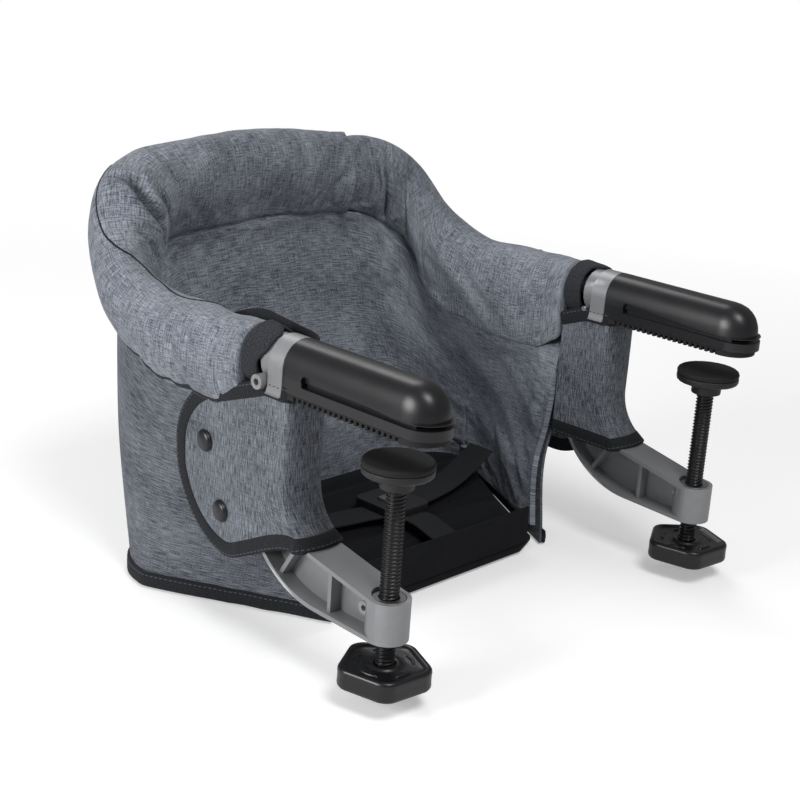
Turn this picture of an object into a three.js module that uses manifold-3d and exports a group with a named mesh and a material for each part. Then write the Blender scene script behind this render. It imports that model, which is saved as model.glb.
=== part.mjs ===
// A child's fabric seat that hooks on the edge of a table. A steel tube runs round the seat and on over the
// table top inside two rubber grips. A cast clamp arm swings on each side of the tube, passes round the table
// edge and carries a screw with a pressure pad that bears on the underside of the table.
// Millimetres. X runs across the seat, +Y away from the table, +Z up. The origin lies midway between the arms,
// on the table's edge and on its top surface. The child faces -Y, so the right arm is the one at -X.

import * as THREE from 'three';
import { mergeVertices } from 'three/addons/utils/BufferGeometryUtils.js';
import Module from 'manifold-3d';

const wasm = await Module();
wasm.setup();

// Clearances and the overrun of cuts
const seatGap = 0.3; // between pieces that rest on each other
const clothGap = 0.6; // between a fabric piece and what it lies on
const overrun = 2; // how far a cutting shape passes the face that it cuts
const lap = 0.5; // how far two joined shapes run into each other
const facetClearance = 1.8; // room for the flat facets of a wall that stands for a curved one
const weldReach = 1e-4; // points closer than this are one point

// Stance
const armSpacing = 330; // between the middle planes of the two arms
const clampedTable = 18; // board held at rest
const edgeToSpine = 8; // from the table edge to the clamp arm's spine

// Frame tube
const tubeRadius = 11;
const tubeWall = 2.5;
const tubeHeight = 18.5; // axis above the table top
const straightEnd = 100; // where the side runs begin to climb
const backDepth = 238; // axis of the back run
const backHeight = 99; // axis of the back run above the table top
const grooveWidth = 5.4; // part-turn groove that the collar pin runs in
const grooveDepth = 1.3;
const grooveEndAngle = 9; // degrees past the pin at each end of the groove
// Shares of the way inwards, backwards and upwards at each point of a back corner
const backCornerShares = [
  [0.006, 0.36, 0.025],
  [0.042, 0.69, 0.24],
  [0.152, 0.884, 0.66],
  [0.321, 0.98, 0.87],
  [0.576, 1, 0.97],
];

// Clamp arm casting
const armWidth = 28.6;
const spineDepth = 37; // front to back
const innerBend = 38; // radius of the inner flange round the table edge
const bendDrop = 60; // centre of the bend below the table top
const flange = 3;
const web = 4;
const rib = 3;
const ribSink = 3.5; // the ribs' edges below the flanges' edges
const radialRibAngles = [-8, -58]; // degrees, about the centre of the bend
const uprightRibOut = 38; // from the table edge to the middle of the upright rib
const bossRadius = 14.3;
const bossOut = 80; // from the table edge to the screw axis
const bossTop = 109; // below the table top
const bossLength = 28;
const collarLength = 22; // along the tube
const collarFaceLength = 13.4; // the front part, whose outline matches the grip
const collarRadius = 18;
const collarRearRadius = 16.5;
const collarFoot = 2.5; // how far the collar's foot flares to each side
const footRise = 9;
const spineTop = 5; // top of the spine under the collar
const spineRearDrop = 20; // top of the spine at its rear edge, below the collar's floor
const spineLip = 2.2; // top of the spine behind the collar, below the collar's floor
const eyeletRadius = 5;
const eyeletHeight = 6.3;
const eyeletBack = 19; // from the collar's front face
const eyeletProud = 4.5; // beyond the collar's side
const collarPinRadius = 2;
const collarPinSink = 4; // below the eyelet's rim
const insertPinRadius = 1.7;
const insertPinDrop = 9.5; // below the boss's top
const insertPinInset = 1; // the pin's axis beyond the insert's radius, so that it bears in the insert's groove
const insertPinBoss = 4.5;
const insertPinBossProud = 8; // beyond the web

// Threaded insert, screw, knob and pressure pad
const screwRadius = 6.5;
const screwClearance = 0.35;
const insertRadius = 11;
const insertGroove = 1.3;
const insertGrooveWidth = 5;
const knobDrop = 16.5; // top of the knob's rim below the boss
const knobHeight = 14.5;
const knobCornerReach = 31;
const knobCorners = 5;
const knobCornerRadius = 9;
const knobFirstCorner = 12; // degrees
const knobRimWidth = 5;
const knobDish = 4.5;
const knobHubRadius = 11;
const knobHubDrop = 1.5;
const knobFloor = 3;
const knobEdge = 2; // chamfer round the knob's faces
const padRadius = 23;
const padFacing = 4; // rubber
const padPlate = 5;
const padHubRadius = 11;
const padHubLength = 9;
const padSocketDepth = 8;
const padEdge = 1.2;
const screwTipRadius = 5;

// Grip
const gripHalfWidth = 17.3;
const gripTop = 36.3; // above the table top
const gripReach = 117; // from the table edge to the lower lip's tip
const gripDomeSetback = 3; // of the dome's tip behind the lower lip
const gripEndWall = 22; // from the tube's end to the lower lip's tip
const gripDomeLength = 21;
const gripSquareness = 0.8; // below 1, the grip's section has fuller shoulders than an ellipse
const gripCrownSquareness = 0.9;
const soleThickness = 4;
const soleSetback = 3;
const slotLow = 10.8;
const slotHigh = 13.9;
const slotDepth = 4.5;
const slotRear = 9;
const notchDepth = 13;
const toothPitch = 4.7;
const toothGap = 2.2;
const toothDepth = 4;
const toothHeight = 3;

// Seat base, measured below the table top and back from the table edge
const baseDrop = 180;
const baseBoard = 7;
const baseFront = 11;
const baseFrontHalf = 92;
const baseCornerHalf = 114;
const baseCornerBack = 20;
const baseSideHalf = 180;
const baseSideBack = 146;
const baseBackRadius = 52;
const shellWall = 4;
const liningWall = 9;
const bindingHeight = 11;
const bindingWall = 2.4;
const apronHeight = 30;
const apronWall = 4;
const cushionHeight = 20;
const cushionCrown = 7;
const cushionEdge = 9;
// Shares of the cushion's height, and of its edge width that the outline pulls in by there
const cushionLevelShares = [
  [0, 0.35],
  [0.3, 0],
  [0.62, 0.1],
  [0.85, 0.6],
  [1, 1.6],
];
const crownShares = [0.66, 0.33]; // of the way from the middle to the edge
const crownFullness = 0.7;
const wallFrontShare = 0.047; // of the wall's foot, that its front edge leans back by beside the clamp arms
const wallFrontRiseShare = 0.45; // of the wall's height, above which its front edge is upright
const liningDrop = 5; // top of the lining below the shell's
const liningFoot = 14; // bottom of the lining above the shell's
const shellBulge = 4;
const shellFold = 1.4; // height of the soft folds in the walls
const shellFolds = 11;
const bulgeSquareness = 0.4; // below 1, the walls' bulge reaches nearer to their front edges
const wallColumns = 38;
const wallRows = 6;

// Rim sleeve
const sleeveStart = 46.5; // where the sleeve begins behind the collar
const sleeveTop = 18; // above the tube's axis
const sleeveDrop = 39; // below the tube's axis
const sleeveHalfWidth = 21;
const sleeveHem = 8; // half thickness of the lower edge
const sleeveBore = 12.4;
const gatherHeight = 1.8;
const gatherCount = 14;
const gatherRunShare = 1 / 12; // of the sleeve's length, over which the gathers die out at each end
const sleeveStations = 42;
const sleeveSides = 16;
const sleeveBoreSides = 8;
const sleeveShoulderShare = 0.9; // how soon the sleeve's sides reach their full width
const sleeveSquareness = 0.7;
const cuffRadius = 18.6;
const cuffEndRadius = 19.8;
const cuffBore = 11.6;

// Side flaps
const flapWall = 2.4;
const flapRear = 113;
const flapMiddle = 62;
const flapTop = 17; // below the table top
const flapBottom = 117;
const flapFoldFront = 5; // depth of the rounded fold
const flapFoldGap = 3; // between the spine and the middle of the fold's rounding
const flapFrontTop = 2.5; // below the table top, in front of the rim sleeve
const flapRiseFront = 24; // where the upper edge has risen to the front's height
const flapFoldBottom = 88;
const flapNoseBottom = 92; // where the outer panel meets the fold
const flapFoldSteps = 5;
const flapRearSteps = 8;
const flapRows = 4;
const flapEndShare = 0.985; // of the rear half round's reach, where it is cut square
const snapRadius = 7.2;
const snapHeight = 3.2;
const snapLift = 0.7; // clears the flap's curve under the snap
// Shares of a snap's radius and height along its dome
const snapDomeShares = [
  [0, 0],
  [1, 0],
  [1, 0.3],
  [0.8, 0.75],
  [0.45, 1],
  [0, 1],
];
// Shares of the flap's length and height where its two snaps sit
const snapShares = [
  [0.76, 0.35],
  [0.58, 0.79],
];

// Harness
const strapWidth = 25;
const strapThickness = 1.6;
const buckleLength = 44;
const buckleWidth = 40;
const buckleHeight = 11;
const buckleBack = 78; // middle of the buckle from the table edge
const buttonLength = 15;
const buttonWidth = 18;
const buttonProud = 1.4;
const buttonTravel = 2.5;
const lapEndGap = 4.5; // from the end of a lap strap to the lining

// Values that follow from the sizes above
const armHalf = armSpacing / 2;
const tubeReach = gripReach - gripEndWall; // how far the tube runs over the table
const toothCount = Math.floor((gripReach - soleSetback - gripHalfWidth) / toothPitch);
const bendY = edgeToSpine - innerBend;
const outerBend = innerBend + spineDepth;
const spineRear = edgeToSpine + spineDepth;
const collarRear = edgeToSpine + collarLength;
const bossBottom = bossTop + bossLength;
const ribWidth = armWidth - 2 * ribSink;
const knobRim = bossBottom + knobDrop;
const eyeletY = edgeToSpine + eyeletBack;
const insertPinY = insertRadius + insertPinInset - bossOut;
const gripRear = edgeToSpine - seatGap;
const collarSide = collarRadius + eyeletProud;
const liningInset = shellWall + clothGap + facetClearance;
const seatInset = liningInset + liningWall + clothGap;
const boardTop = baseBoard - baseDrop;
const wallFront = sleeveStart + clothGap; // front edge of the walls beside the clamp arms
const flapHigh = tubeHeight - sleeveDrop - clothGap; // upper edge of a flap under the rim sleeve
const flapFoldY = edgeToSpine - flapFoldGap;
const apronBack = baseFront + shellWall + clothGap + apronWall;
const flapOnWall = clothGap + flapWall;
const footInset = shellWall + clothGap + facetClearance;
const cushionInset = seatInset + facetClearance;

const point = (x, y, z) => new THREE.Vector3(x, y, z);
const mix = THREE.MathUtils.lerp;
const radians = THREE.MathUtils.degToRad;
const ease = (t) => THREE.MathUtils.smoothstep(t, 0, 1);

// Solids and booleans
function toSolid(geometry) {
  const bare = geometry.clone();
  bare.deleteAttribute('normal');
  bare.deleteAttribute('uv');
  const merged = mergeVertices(bare, weldReach);
  const vertProperties = merged.attributes.position.array;
  const triVerts = Uint32Array.from(merged.index.array);
  return new wasm.Manifold(new wasm.Mesh({ numProp: 3, vertProperties, triVerts }));
}

function toGeometry(solid) {
  const mesh = solid.getMesh();
  const geometry = new THREE.BufferGeometry();
  geometry.setAttribute('position', new THREE.BufferAttribute(Float32Array.from(mesh.vertProperties), 3));
  geometry.setIndex(new THREE.BufferAttribute(Uint32Array.from(mesh.triVerts), 1));
  geometry.computeVertexNormals();
  return geometry;
}

const join = (first, ...others) => others.reduce((whole, next) => whole.add(next), first);
const cut = (first, ...others) => others.reduce((whole, next) => whole.subtract(next), first);

// A closed solid from points and triangles, turned so that its faces point out
function closedSolid(points, faces) {
  const origin = points[0];
  let volume = 0;
  for (const [a, b, c] of faces) {
    const [p, q, r] = [a, b, c].map((index) => points[index].clone().sub(origin));
    volume += p.dot(q.cross(r));
  }
  const turned = volume < 0 ? faces.map(([a, b, c]) => [a, c, b]) : faces;
  const geometry = new THREE.BufferGeometry().setFromPoints(points);
  geometry.setIndex(turned.flat());
  return toSolid(geometry);
}

// Rings of points joined one to the next, with both ends filled from their middles
function loft(rings) {
  const count = rings[0].length;
  const points = rings.flat();
  const faces = [];
  for (let i = 0; i + 1 < rings.length; i += 1) {
    for (let j = 0; j < count; j += 1) {
      const a = i * count + j;
      const b = i * count + ((j + 1) % count);
      faces.push([a, b, b + count], [a, b + count, a + count]);
    }
  }
  const middle = (ring) => ring.reduce((sum, p) => sum.add(p), point(0, 0, 0)).divideScalar(count);
  const last = (rings.length - 1) * count;
  points.push(middle(rings[0]), middle(rings.at(-1)));
  for (let j = 0; j < count; j += 1) {
    const next = (j + 1) % count;
    faces.push([points.length - 2, next, j], [points.length - 1, last + j, last + next]);
  }
  return closedSolid(points, faces);
}

// A sheet with two faces, given as grids of points of the same size
function sheet(front, back) {
  const rows = front.length;
  const columns = front[0].length;
  const points = [...front.flat(), ...back.flat()];
  const behind = rows * columns;
  const faces = [];
  const quad = (a, b, c, d) => faces.push([a, b, c], [a, c, d]);
  for (let i = 0; i + 1 < rows; i += 1) {
    for (let j = 0; j + 1 < columns; j += 1) {
      const a = i * columns + j;
      quad(a, a + 1, a + columns + 1, a + columns);
      quad(behind + a, behind + a + columns, behind + a + columns + 1, behind + a + 1);
    }
  }
  const rim = [];
  for (let j = 0; j + 1 < columns; j += 1) rim.push(j);
  for (let i = 0; i + 1 < rows; i += 1) rim.push(i * columns + columns - 1);
  for (let j = columns - 1; j > 0; j -= 1) rim.push((rows - 1) * columns + j);
  for (let i = rows - 1; i > 0; i -= 1) rim.push(i * columns);
  rim.forEach((a, index) => {
    const b = rim[(index + 1) % rim.length];
    quad(a, behind + a, behind + b, b);
  });
  return closedSolid(points, faces);
}

// A grid of points from a function of two shares
function grid(rows, columns, place) {
  return Array.from({ length: rows + 1 }, (_, i) =>
    Array.from({ length: columns + 1 }, (__, j) => place(i / rows, j / columns)));
}

// A cylinder between two points, which may taper
function rod(from, to, radius, sides = 24, endRadius = radius) {
  const along = to.clone().sub(from);
  const geometry = new THREE.CylinderGeometry(endRadius, radius, along.length(), sides);
  const turn = new THREE.Quaternion().setFromUnitVectors(point(0, 1, 0), along.clone().normalize());
  geometry.applyQuaternion(turn);
  const middle = from.clone().add(to).multiplyScalar(0.5);
  geometry.translate(middle.x, middle.y, middle.z);
  return toSolid(geometry);
}

function block(low, high) {
  const size = high.clone().sub(low);
  const middle = low.clone().add(high).multiplyScalar(0.5);
  const geometry = new THREE.BoxGeometry(size.x, size.y, size.z);
  geometry.translate(middle.x, middle.y, middle.z);
  return toSolid(geometry);
}

// An outline in Y and Z, extruded along X about X = 0
function alongX(shape, width, curveSegments = 12) {
  const geometry = new THREE.ExtrudeGeometry(shape, { depth: width, bevelEnabled: false, curveSegments });
  geometry.translate(0, 0, -width / 2);
  geometry.applyMatrix4(new THREE.Matrix4().makeBasis(point(0, 1, 0), point(0, 0, 1), point(1, 0, 0)));
  return toSolid(geometry);
}

// An outline in X and Z, extruded from one Y to another
function alongY(shape, from, to, curveSegments = 12) {
  const depth = to - from;
  const geometry = new THREE.ExtrudeGeometry(shape, { depth, bevelEnabled: false, curveSegments });
  geometry.applyMatrix4(new THREE.Matrix4().makeBasis(point(1, 0, 0), point(0, 0, 1), point(0, -1, 0)));
  geometry.translate(0, to, 0);
  return toSolid(geometry);
}

// An outline in X and Y, extruded from one Z to another
function alongZ(shape, from, to, curveSegments = 12) {
  const depth = to - from;
  const geometry = new THREE.ExtrudeGeometry(shape, { depth, bevelEnabled: false, curveSegments });
  geometry.translate(0, 0, from);
  return toSolid(geometry);
}

// A turned piece about the Z axis, from points of radius and height
function turned(outline, sides = 24) {
  const profile = outline.map(([radius, height]) => new THREE.Vector2(radius, height));
  const geometry = new THREE.LatheGeometry(profile, sides);
  geometry.rotateX(Math.PI / 2);
  return toSolid(geometry);
}

// Named meshes, placed in the part's own frame
const seat = new THREE.Group();

function finish(color, roughness, metalness) {
  return { color, roughness, metalness };
}

const steel = finish(0x8d9094, 0.35, 0.9);
const castAlloy = finish(0xa3a7ac, 0.42, 0.55);
const blackPlastic = finish(0x17181a, 0.5, 0);
const blackRubber = finish(0x1d1e20, 0.8, 0);
const blackThread = finish(0x141416, 0.4, 0.7);
const linen = finish(0x56617a, 0.95, 0);
const blackCloth = finish(0x1a1b1e, 0.95, 0);
const blackTape = finish(0x232427, 0.9, 0);

function add(name, solid, look, place = point(0, 0, 0)) {
  const mesh = new THREE.Mesh(toGeometry(solid), new THREE.MeshStandardMaterial(look));
  mesh.name = name;
  mesh.position.copy(place);
  seat.add(mesh);
}

// The frame tube's centre line, from the right grip round the back to the left grip
function tubeLine() {
  const half = [
    point(-armHalf, -tubeReach, tubeHeight),
    point(-armHalf, straightEnd / 2, tubeHeight),
    point(-armHalf, straightEnd, tubeHeight),
    ...backCornerShares.map(([inward, back, up]) => point(
      -armHalf * (1 - inward),
      mix(straightEnd, backDepth, back),
      mix(tubeHeight, backHeight, up),
    )),
  ];
  const mirrored = half.map((p) => point(-p.x, p.y, p.z)).reverse();
  return new THREE.CatmullRomCurve3([...half, point(0, backDepth, backHeight), ...mirrored]);
}

const frameLine = tubeLine();
const frameSteps = 160;
const framePoints = frameLine.getSpacedPoints(frameSteps);

// The part of the centre line behind the collars, with the sideways direction at each point
function rimStations(count) {
  const first = framePoints.findIndex((p) => p.y > sleeveStart);
  const near = framePoints[first];
  const before = framePoints[first - 1];
  const share = (sleeveStart - before.y) / (near.y - before.y);
  const start = (first - 1 + share) / frameSteps;
  return Array.from({ length: count + 1 }, (_, i) => {
    const t = mix(start, 1 - start, i / count);
    const along = frameLine.getTangentAt(t);
    const outward = point(-along.y, along.x, 0).normalize();
    return { share: i / count, centre: frameLine.getPointAt(t), along, outward };
  });
}

function buildFrameTube() {
  const section = new THREE.Shape().absarc(0, 0, tubeRadius, 0, Math.PI * 2);
  section.holes.push(new THREE.Path().absarc(0, 0, tubeRadius - tubeWall, 0, Math.PI * 2, true));
  const geometry = new THREE.ExtrudeGeometry(section, {
    steps: 38, curveSegments: 7, extrudePath: frameLine, bevelEnabled: false,
  });
  return cut(toSolid(geometry), collarGroove(-1), collarGroove(1));
}

// The groove under the tube at one collar. It runs a quarter turn inwards, and past both ends of the pin
function collarGroove(side) {
  const floor = tubeRadius - grooveDepth;
  const pinTop = tubeHeight - eyeletHeight - collarPinRadius;
  const halfTurn = Math.acos(Math.min(pinTop / tubeRadius, 1)) + radians(grooveEndAngle);
  const first = -Math.PI / 2 - halfTurn;
  const last = halfTurn;
  const sector = new THREE.Shape();
  sector.absarc(0, 0, tubeRadius + overrun, first, last);
  sector.absarc(0, 0, floor, last, first, true);
  const cutter = alongY(sector, eyeletY - grooveWidth / 2, eyeletY + grooveWidth / 2, 10);
  const placed = side < 0 ? cutter : cutter.mirror([1, 0, 0]);
  return placed.translate([side * armHalf, 0, tubeHeight]);
}

// Where a straight line from a point meets the lower side of the bend's circle
function bendTangent(radius, reach, drop) {
  const toPoint = Math.atan2(bendDrop - drop, -reach - bendY);
  const distance = Math.hypot(bendDrop - drop, -reach - bendY);
  return toPoint + Math.acos(radius / distance);
}

// The clamp arm seen from the side: its spine, the bend and the run out to the boss
function armOutline() {
  const shape = new THREE.Shape();
  const innerAngle = bendTangent(innerBend, bossOut, bossTop);
  const outerAngle = bendTangent(outerBend, bossOut, bossBottom);
  shape.moveTo(edgeToSpine, spineTop);
  shape.absarc(bendY, -bendDrop, innerBend, 0, innerAngle, true);
  shape.lineTo(-bossOut, -bossTop);
  shape.lineTo(-bossOut, -bossBottom);
  shape.absarc(bendY, -bendDrop, outerBend, outerAngle, 0, false);
  shape.lineTo(spineRear, -spineRearDrop);
  shape.lineTo(collarRear + seatGap, -spineLip);
  shape.lineTo(collarRear, spineTop);
  return shape;
}

// The hollow of the arm's channel section, inside its flanges
function pocketOutline() {
  const shape = new THREE.Shape();
  const inner = innerBend + flange;
  const outer = outerBend - flange;
  const innerAngle = bendTangent(inner, bossOut, bossTop + flange);
  const outerAngle = bendTangent(outer, bossOut, bossBottom - flange);
  shape.moveTo(edgeToSpine + flange, -spineLip - flange);
  shape.absarc(bendY, -bendDrop, inner, 0, innerAngle, true);
  shape.lineTo(-bossOut, -bossTop - flange);
  shape.lineTo(-bossOut, flange - bossBottom);
  shape.absarc(bendY, -bendDrop, outer, outerAngle, 0, false);
  shape.lineTo(spineRear - flange, -spineRearDrop - flange / 2);
  shape.lineTo(collarRear, -spineLip - flange);
  return shape;
}

function radialRib(degrees) {
  const reach = outerBend + overrun;
  const geometry = new THREE.BoxGeometry(ribWidth, reach, rib);
  geometry.translate(0, reach / 2, 0);
  geometry.rotateX(radians(degrees));
  geometry.translate(0, bendY, -bendDrop);
  return toSolid(geometry);
}

function collarOutline(halfWidth, top, foot) {
  const shape = new THREE.Shape();
  const centre = top - halfWidth;
  shape.moveTo(halfWidth, footRise);
  shape.lineTo(halfWidth, centre);
  shape.absarc(0, centre, halfWidth, 0, Math.PI);
  shape.lineTo(-halfWidth, footRise);
  shape.quadraticCurveTo(-halfWidth, 0, -halfWidth - foot, 0);
  shape.lineTo(halfWidth + foot, 0);
  shape.quadraticCurveTo(halfWidth, 0, halfWidth, footRise);
  return shape;
}

// One clamp arm, with its outer side towards -X or +X
function buildArm(side) {
  const pocket = cut(
    alongX(pocketOutline(), armWidth + overrun),
    block(point(-web / 2, -bossOut, -bossBottom), point(web / 2, spineRear, spineTop)),
    ...radialRibAngles.map(radialRib),
    block(
      point(-ribWidth / 2, -uprightRibOut - rib / 2, -bossBottom),
      point(ribWidth / 2, rib / 2 - uprightRibOut, bossRadius - bossTop),
    ),
  );
  const channel = cut(alongX(armOutline(), armWidth), pocket);
  const axisLow = point(0, 0, tubeHeight);
  const collar = alongY(
    collarOutline(collarRadius, tubeHeight + collarRadius, collarFoot),
    edgeToSpine,
    edgeToSpine + collarFaceLength,
    8,
  );
  const rear = rod(
    axisLow.clone().setY(edgeToSpine + collarFaceLength - overrun),
    axisLow.clone().setY(collarRear),
    collarRearRadius,
    24,
  );
  const eyelet = rod(point(0, eyeletY, eyeletHeight), point(side * collarSide, eyeletY, eyeletHeight), eyeletRadius, 16);
  const boss = rod(point(0, -bossOut, -bossBottom), point(0, -bossOut, -bossTop), bossRadius, 32);
  const pinBossEnd = web / 2 + insertPinBossProud;
  const pinZ = -bossTop - insertPinDrop;
  const pinBoss = rod(point(0, insertPinY, pinZ), point(side * pinBossEnd, insertPinY, pinZ), insertPinBoss, 14);
  const bores = [
    rod(point(0, 0, tubeHeight), point(0, collarRear + overrun, tubeHeight), tubeRadius + seatGap, 24),
    rod(
      point(-collarSide - overrun, eyeletY, eyeletHeight),
      point(collarSide + overrun, eyeletY, eyeletHeight),
      collarPinRadius + seatGap,
      12,
    ),
    rod(
      point(0, -bossOut, -bossBottom - overrun),
      point(0, -bossOut, flange + overrun - bossTop),
      insertRadius + seatGap,
      24,
    ),
    rod(
      point(-armWidth, insertPinY, pinZ),
      point(armWidth, insertPinY, pinZ),
      insertPinRadius + seatGap,
      10,
    ),
  ];
  return cut(join(channel, collar, rear, eyelet, boss, pinBoss), ...bores);
}

function buildInsert() {
  const bore = screwRadius + screwClearance;
  const groove = -bossTop - insertPinDrop;
  return turned([
    [bore, -bossBottom],
    [insertRadius, -bossBottom],
    [insertRadius, groove - insertGrooveWidth / 2],
    [insertRadius - insertGroove, groove - insertGrooveWidth / 2],
    [insertRadius - insertGroove, groove + insertGrooveWidth / 2],
    [insertRadius, groove + insertGrooveWidth / 2],
    [insertRadius, -bossTop],
    [bore, -bossTop],
    [bore, -bossBottom],
  ]);
}

// The screw with the plain tip that turns in the pressure pad
function buildScrew() {
  const shoulder = -clampedTable - padFacing - padPlate - padHubLength - 2 * seatGap;
  const tip = shoulder + padSocketDepth;
  const end = knobFloor + seatGap - knobRim - knobHeight;
  return turned([
    [0, end],
    [screwRadius, end],
    [screwRadius, shoulder],
    [screwTipRadius, shoulder],
    [screwTipRadius, tip - padEdge],
    [screwTipRadius - padEdge, tip],
    [0, tip],
  ], 20);
}

// A polygon with rounded corners, about the screw's axis
function knobOutline(cornerReach, cornerRadius) {
  const shape = new THREE.Shape();
  const centreReach = cornerReach - cornerRadius;
  const halfTurn = Math.PI / knobCorners;
  for (let i = 0; i < knobCorners; i += 1) {
    const angle = radians(knobFirstCorner) + i * 2 * halfTurn;
    const [x, y] = [centreReach * Math.cos(angle), centreReach * Math.sin(angle)];
    shape.absarc(x, y, cornerRadius, angle - halfTurn, angle + halfTurn);
  }
  return shape;
}

function chamferedKnob() {
  const bottom = -knobRim - knobHeight;
  const rings = [
    [bottom, knobEdge],
    [bottom + knobEdge, 0],
    [-knobRim - knobEdge, 0],
    [-knobRim, knobEdge],
  ].map(([z, inset]) => {
    const outline = knobOutline(knobCornerReach - inset, knobCornerRadius - inset);
    return outline.getPoints(3).slice(0, -1).map((p) => point(p.x, p.y, z));
  });
  return loft(rings);
}

function buildKnob() {
  const dishTop = overrun - knobRim;
  const dishInset = knobRimWidth;
  const dish = alongZ(
    knobOutline(knobCornerReach - dishInset, knobCornerRadius - dishInset / 2),
    -knobRim - knobDish,
    dishTop,
    3,
  );
  const hub = rod(
    point(0, 0, -knobRim - knobDish - overrun),
    point(0, 0, -knobRim - knobHubDrop),
    knobHubRadius,
    24,
    screwRadius + flange,
  );
  const bore = rod(
    point(0, 0, knobFloor - knobRim - knobHeight),
    point(0, 0, -knobRim + overrun),
    screwRadius + seatGap,
    20,
  );
  return cut(join(cut(chamferedKnob(), dish), hub), bore).translate([0, -bossOut, 0]);
}

function buildPadFacing() {
  const bottom = -clampedTable - padFacing;
  return turned([
    [0, bottom],
    [padRadius, bottom],
    [padRadius, -clampedTable - padEdge],
    [padRadius - padEdge, -clampedTable],
    [0, -clampedTable],
  ]);
}

function buildPadPlate() {
  const top = -clampedTable - padFacing - seatGap;
  const hub = top - padPlate;
  const mouth = hub - padHubLength;
  const bore = screwTipRadius + screwClearance;
  return turned([
    [0, mouth + padSocketDepth],
    [bore, mouth + padSocketDepth],
    [bore, mouth],
    [padHubRadius, mouth],
    [padHubRadius, hub],
    [padRadius - padEdge, hub],
    [padRadius, hub + padEdge],
    [padRadius, top],
    [0, top],
  ]);
}

// The grip's plan, with a round front end
function gripPlan(halfWidth, rear, reach) {
  const shape = new THREE.Shape();
  shape.moveTo(halfWidth, rear);
  shape.lineTo(-halfWidth, rear);
  shape.absarc(0, halfWidth - reach, halfWidth, Math.PI, Math.PI * 2);
  return shape;
}

// A ring of the grip's arched section, from the slot's upper edge round over the top
function archRing(y, halfWidth, low, top, count) {
  const ring = [];
  for (let i = 0; i <= count; i += 1) {
    const angle = (Math.PI * i) / count;
    const side = Math.abs(Math.cos(angle)) ** gripSquareness * Math.sign(Math.cos(angle));
    ring.push(point(halfWidth * side, y, mix(low, top, Math.sin(angle) ** gripCrownSquareness)));
  }
  return ring;
}

// The upper part of the grip, which ends in a dome
function gripDome() {
  const tip = gripDomeSetback - gripReach;
  const domeStart = tip + gripDomeLength;
  const rings = [archRing(gripRear, gripHalfWidth, slotHigh, gripTop, 14)];
  rings.push(archRing(domeStart, gripHalfWidth, slotHigh, gripTop, 14));
  const steps = 7;
  for (let i = 1; i <= steps; i += 1) {
    const angle = (Math.PI / 2) * (i / (steps + 0.4));
    const reach = domeStart - gripDomeLength * Math.sin(angle);
    const full = Math.cos(angle) ** gripSquareness;
    rings.push(archRing(reach, gripHalfWidth * full, slotHigh, mix(slotHigh, gripTop, full), 14));
  }
  return loft(rings);
}

function buildGripCover() {
  const lower = alongZ(gripPlan(gripHalfWidth, gripRear, gripReach), soleThickness + seatGap, slotHigh + lap, 10);
  const slotCut = (side) => {
    const shape = new THREE.Shape();
    const middle = (slotLow + slotHigh) / 2;
    const radius = (slotHigh - slotLow) / 2;
    shape.moveTo(-slotRear - radius, slotHigh);
    shape.absarc(-slotRear - radius, middle, radius, Math.PI / 2, -Math.PI / 2, true);
    shape.lineTo(-gripReach - overrun, slotLow);
    shape.lineTo(-gripReach - overrun, slotHigh);
    return alongX(shape, slotDepth * 2, 4).translate([side * gripHalfWidth, 0, 0]);
  };
  const notch = block(
    point(-gripHalfWidth - overrun, -gripReach - overrun, slotLow),
    point(gripHalfWidth + overrun, notchDepth - gripReach, slotHigh),
  );
  const bore = rod(
    point(0, -tubeReach - seatGap, tubeHeight),
    point(0, edgeToSpine + overrun, tubeHeight),
    tubeRadius + seatGap,
    24,
  );
  return cut(join(gripDome(), lower), slotCut(-1), slotCut(1), notch, bore);
}

// The rubber sole, with a row of teeth along each edge
function buildGripSole() {
  const sole = alongZ(gripPlan(gripHalfWidth - seatGap, gripRear, gripReach - soleSetback), 0, soleThickness, 10);
  const inner = gripHalfWidth - toothDepth;
  const gaps = [];
  for (let i = 0; i < toothCount; i += 1) {
    const y = -toothPitch * (i + 0.5);
    for (const side of [-1, 1]) {
      const [low, high] = [side * inner, side * (gripHalfWidth + overrun)].sort((a, b) => a - b);
      gaps.push(block(point(low, y - toothGap, -overrun), point(high, y, toothHeight)));
    }
  }
  return cut(sole, ...gaps);
}

// The seat base in plan. Its half outline runs from the front middle to the back middle
function baseHalfOutline(inset) {
  const side = point(baseSideHalf - baseCornerHalf, baseSideBack - baseCornerBack, 0).normalize();
  const shape = new THREE.Path();
  const front = baseFront + inset;
  const cornerX = baseCornerHalf - inset;
  const radius = baseBackRadius - inset;
  const centreX = baseSideHalf - baseBackRadius;
  shape.moveTo(0, front);
  shape.lineTo(baseFrontHalf - inset, front);
  shape.quadraticCurveTo(cornerX - side.x * inset, front, cornerX, baseCornerBack + inset);
  shape.lineTo(centreX + radius, baseSideBack);
  shape.absarc(centreX, baseSideBack, radius, 0, Math.PI / 2);
  shape.lineTo(0, baseSideBack + radius);
  return shape.getPoints(8);
}

function baseOutline(inset) {
  const half = baseHalfOutline(inset);
  const right = half.slice(1, -1).map((p) => new THREE.Vector2(-p.x, p.y)).reverse();
  return [...half, ...right];
}

const planShape = (points) => new THREE.Shape(points);

// The bottom edge of the side and back walls, from the right front corner round to the left one
function footLine() {
  const half = baseHalfOutline(0).filter((p) => p.y >= baseCornerBack);
  const left = half.map((p) => point(p.x, p.y, 0));
  const right = half.slice(0, -1).map((p) => point(-p.x, p.y, 0));
  return new THREE.CatmullRomCurve3([...right, ...left.reverse()], false, 'centripetal');
}

const wallFoot = footLine();
const rimStartShare = (sleeveStart + tubeReach + clothGap) / frameLine.getLength();

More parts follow.
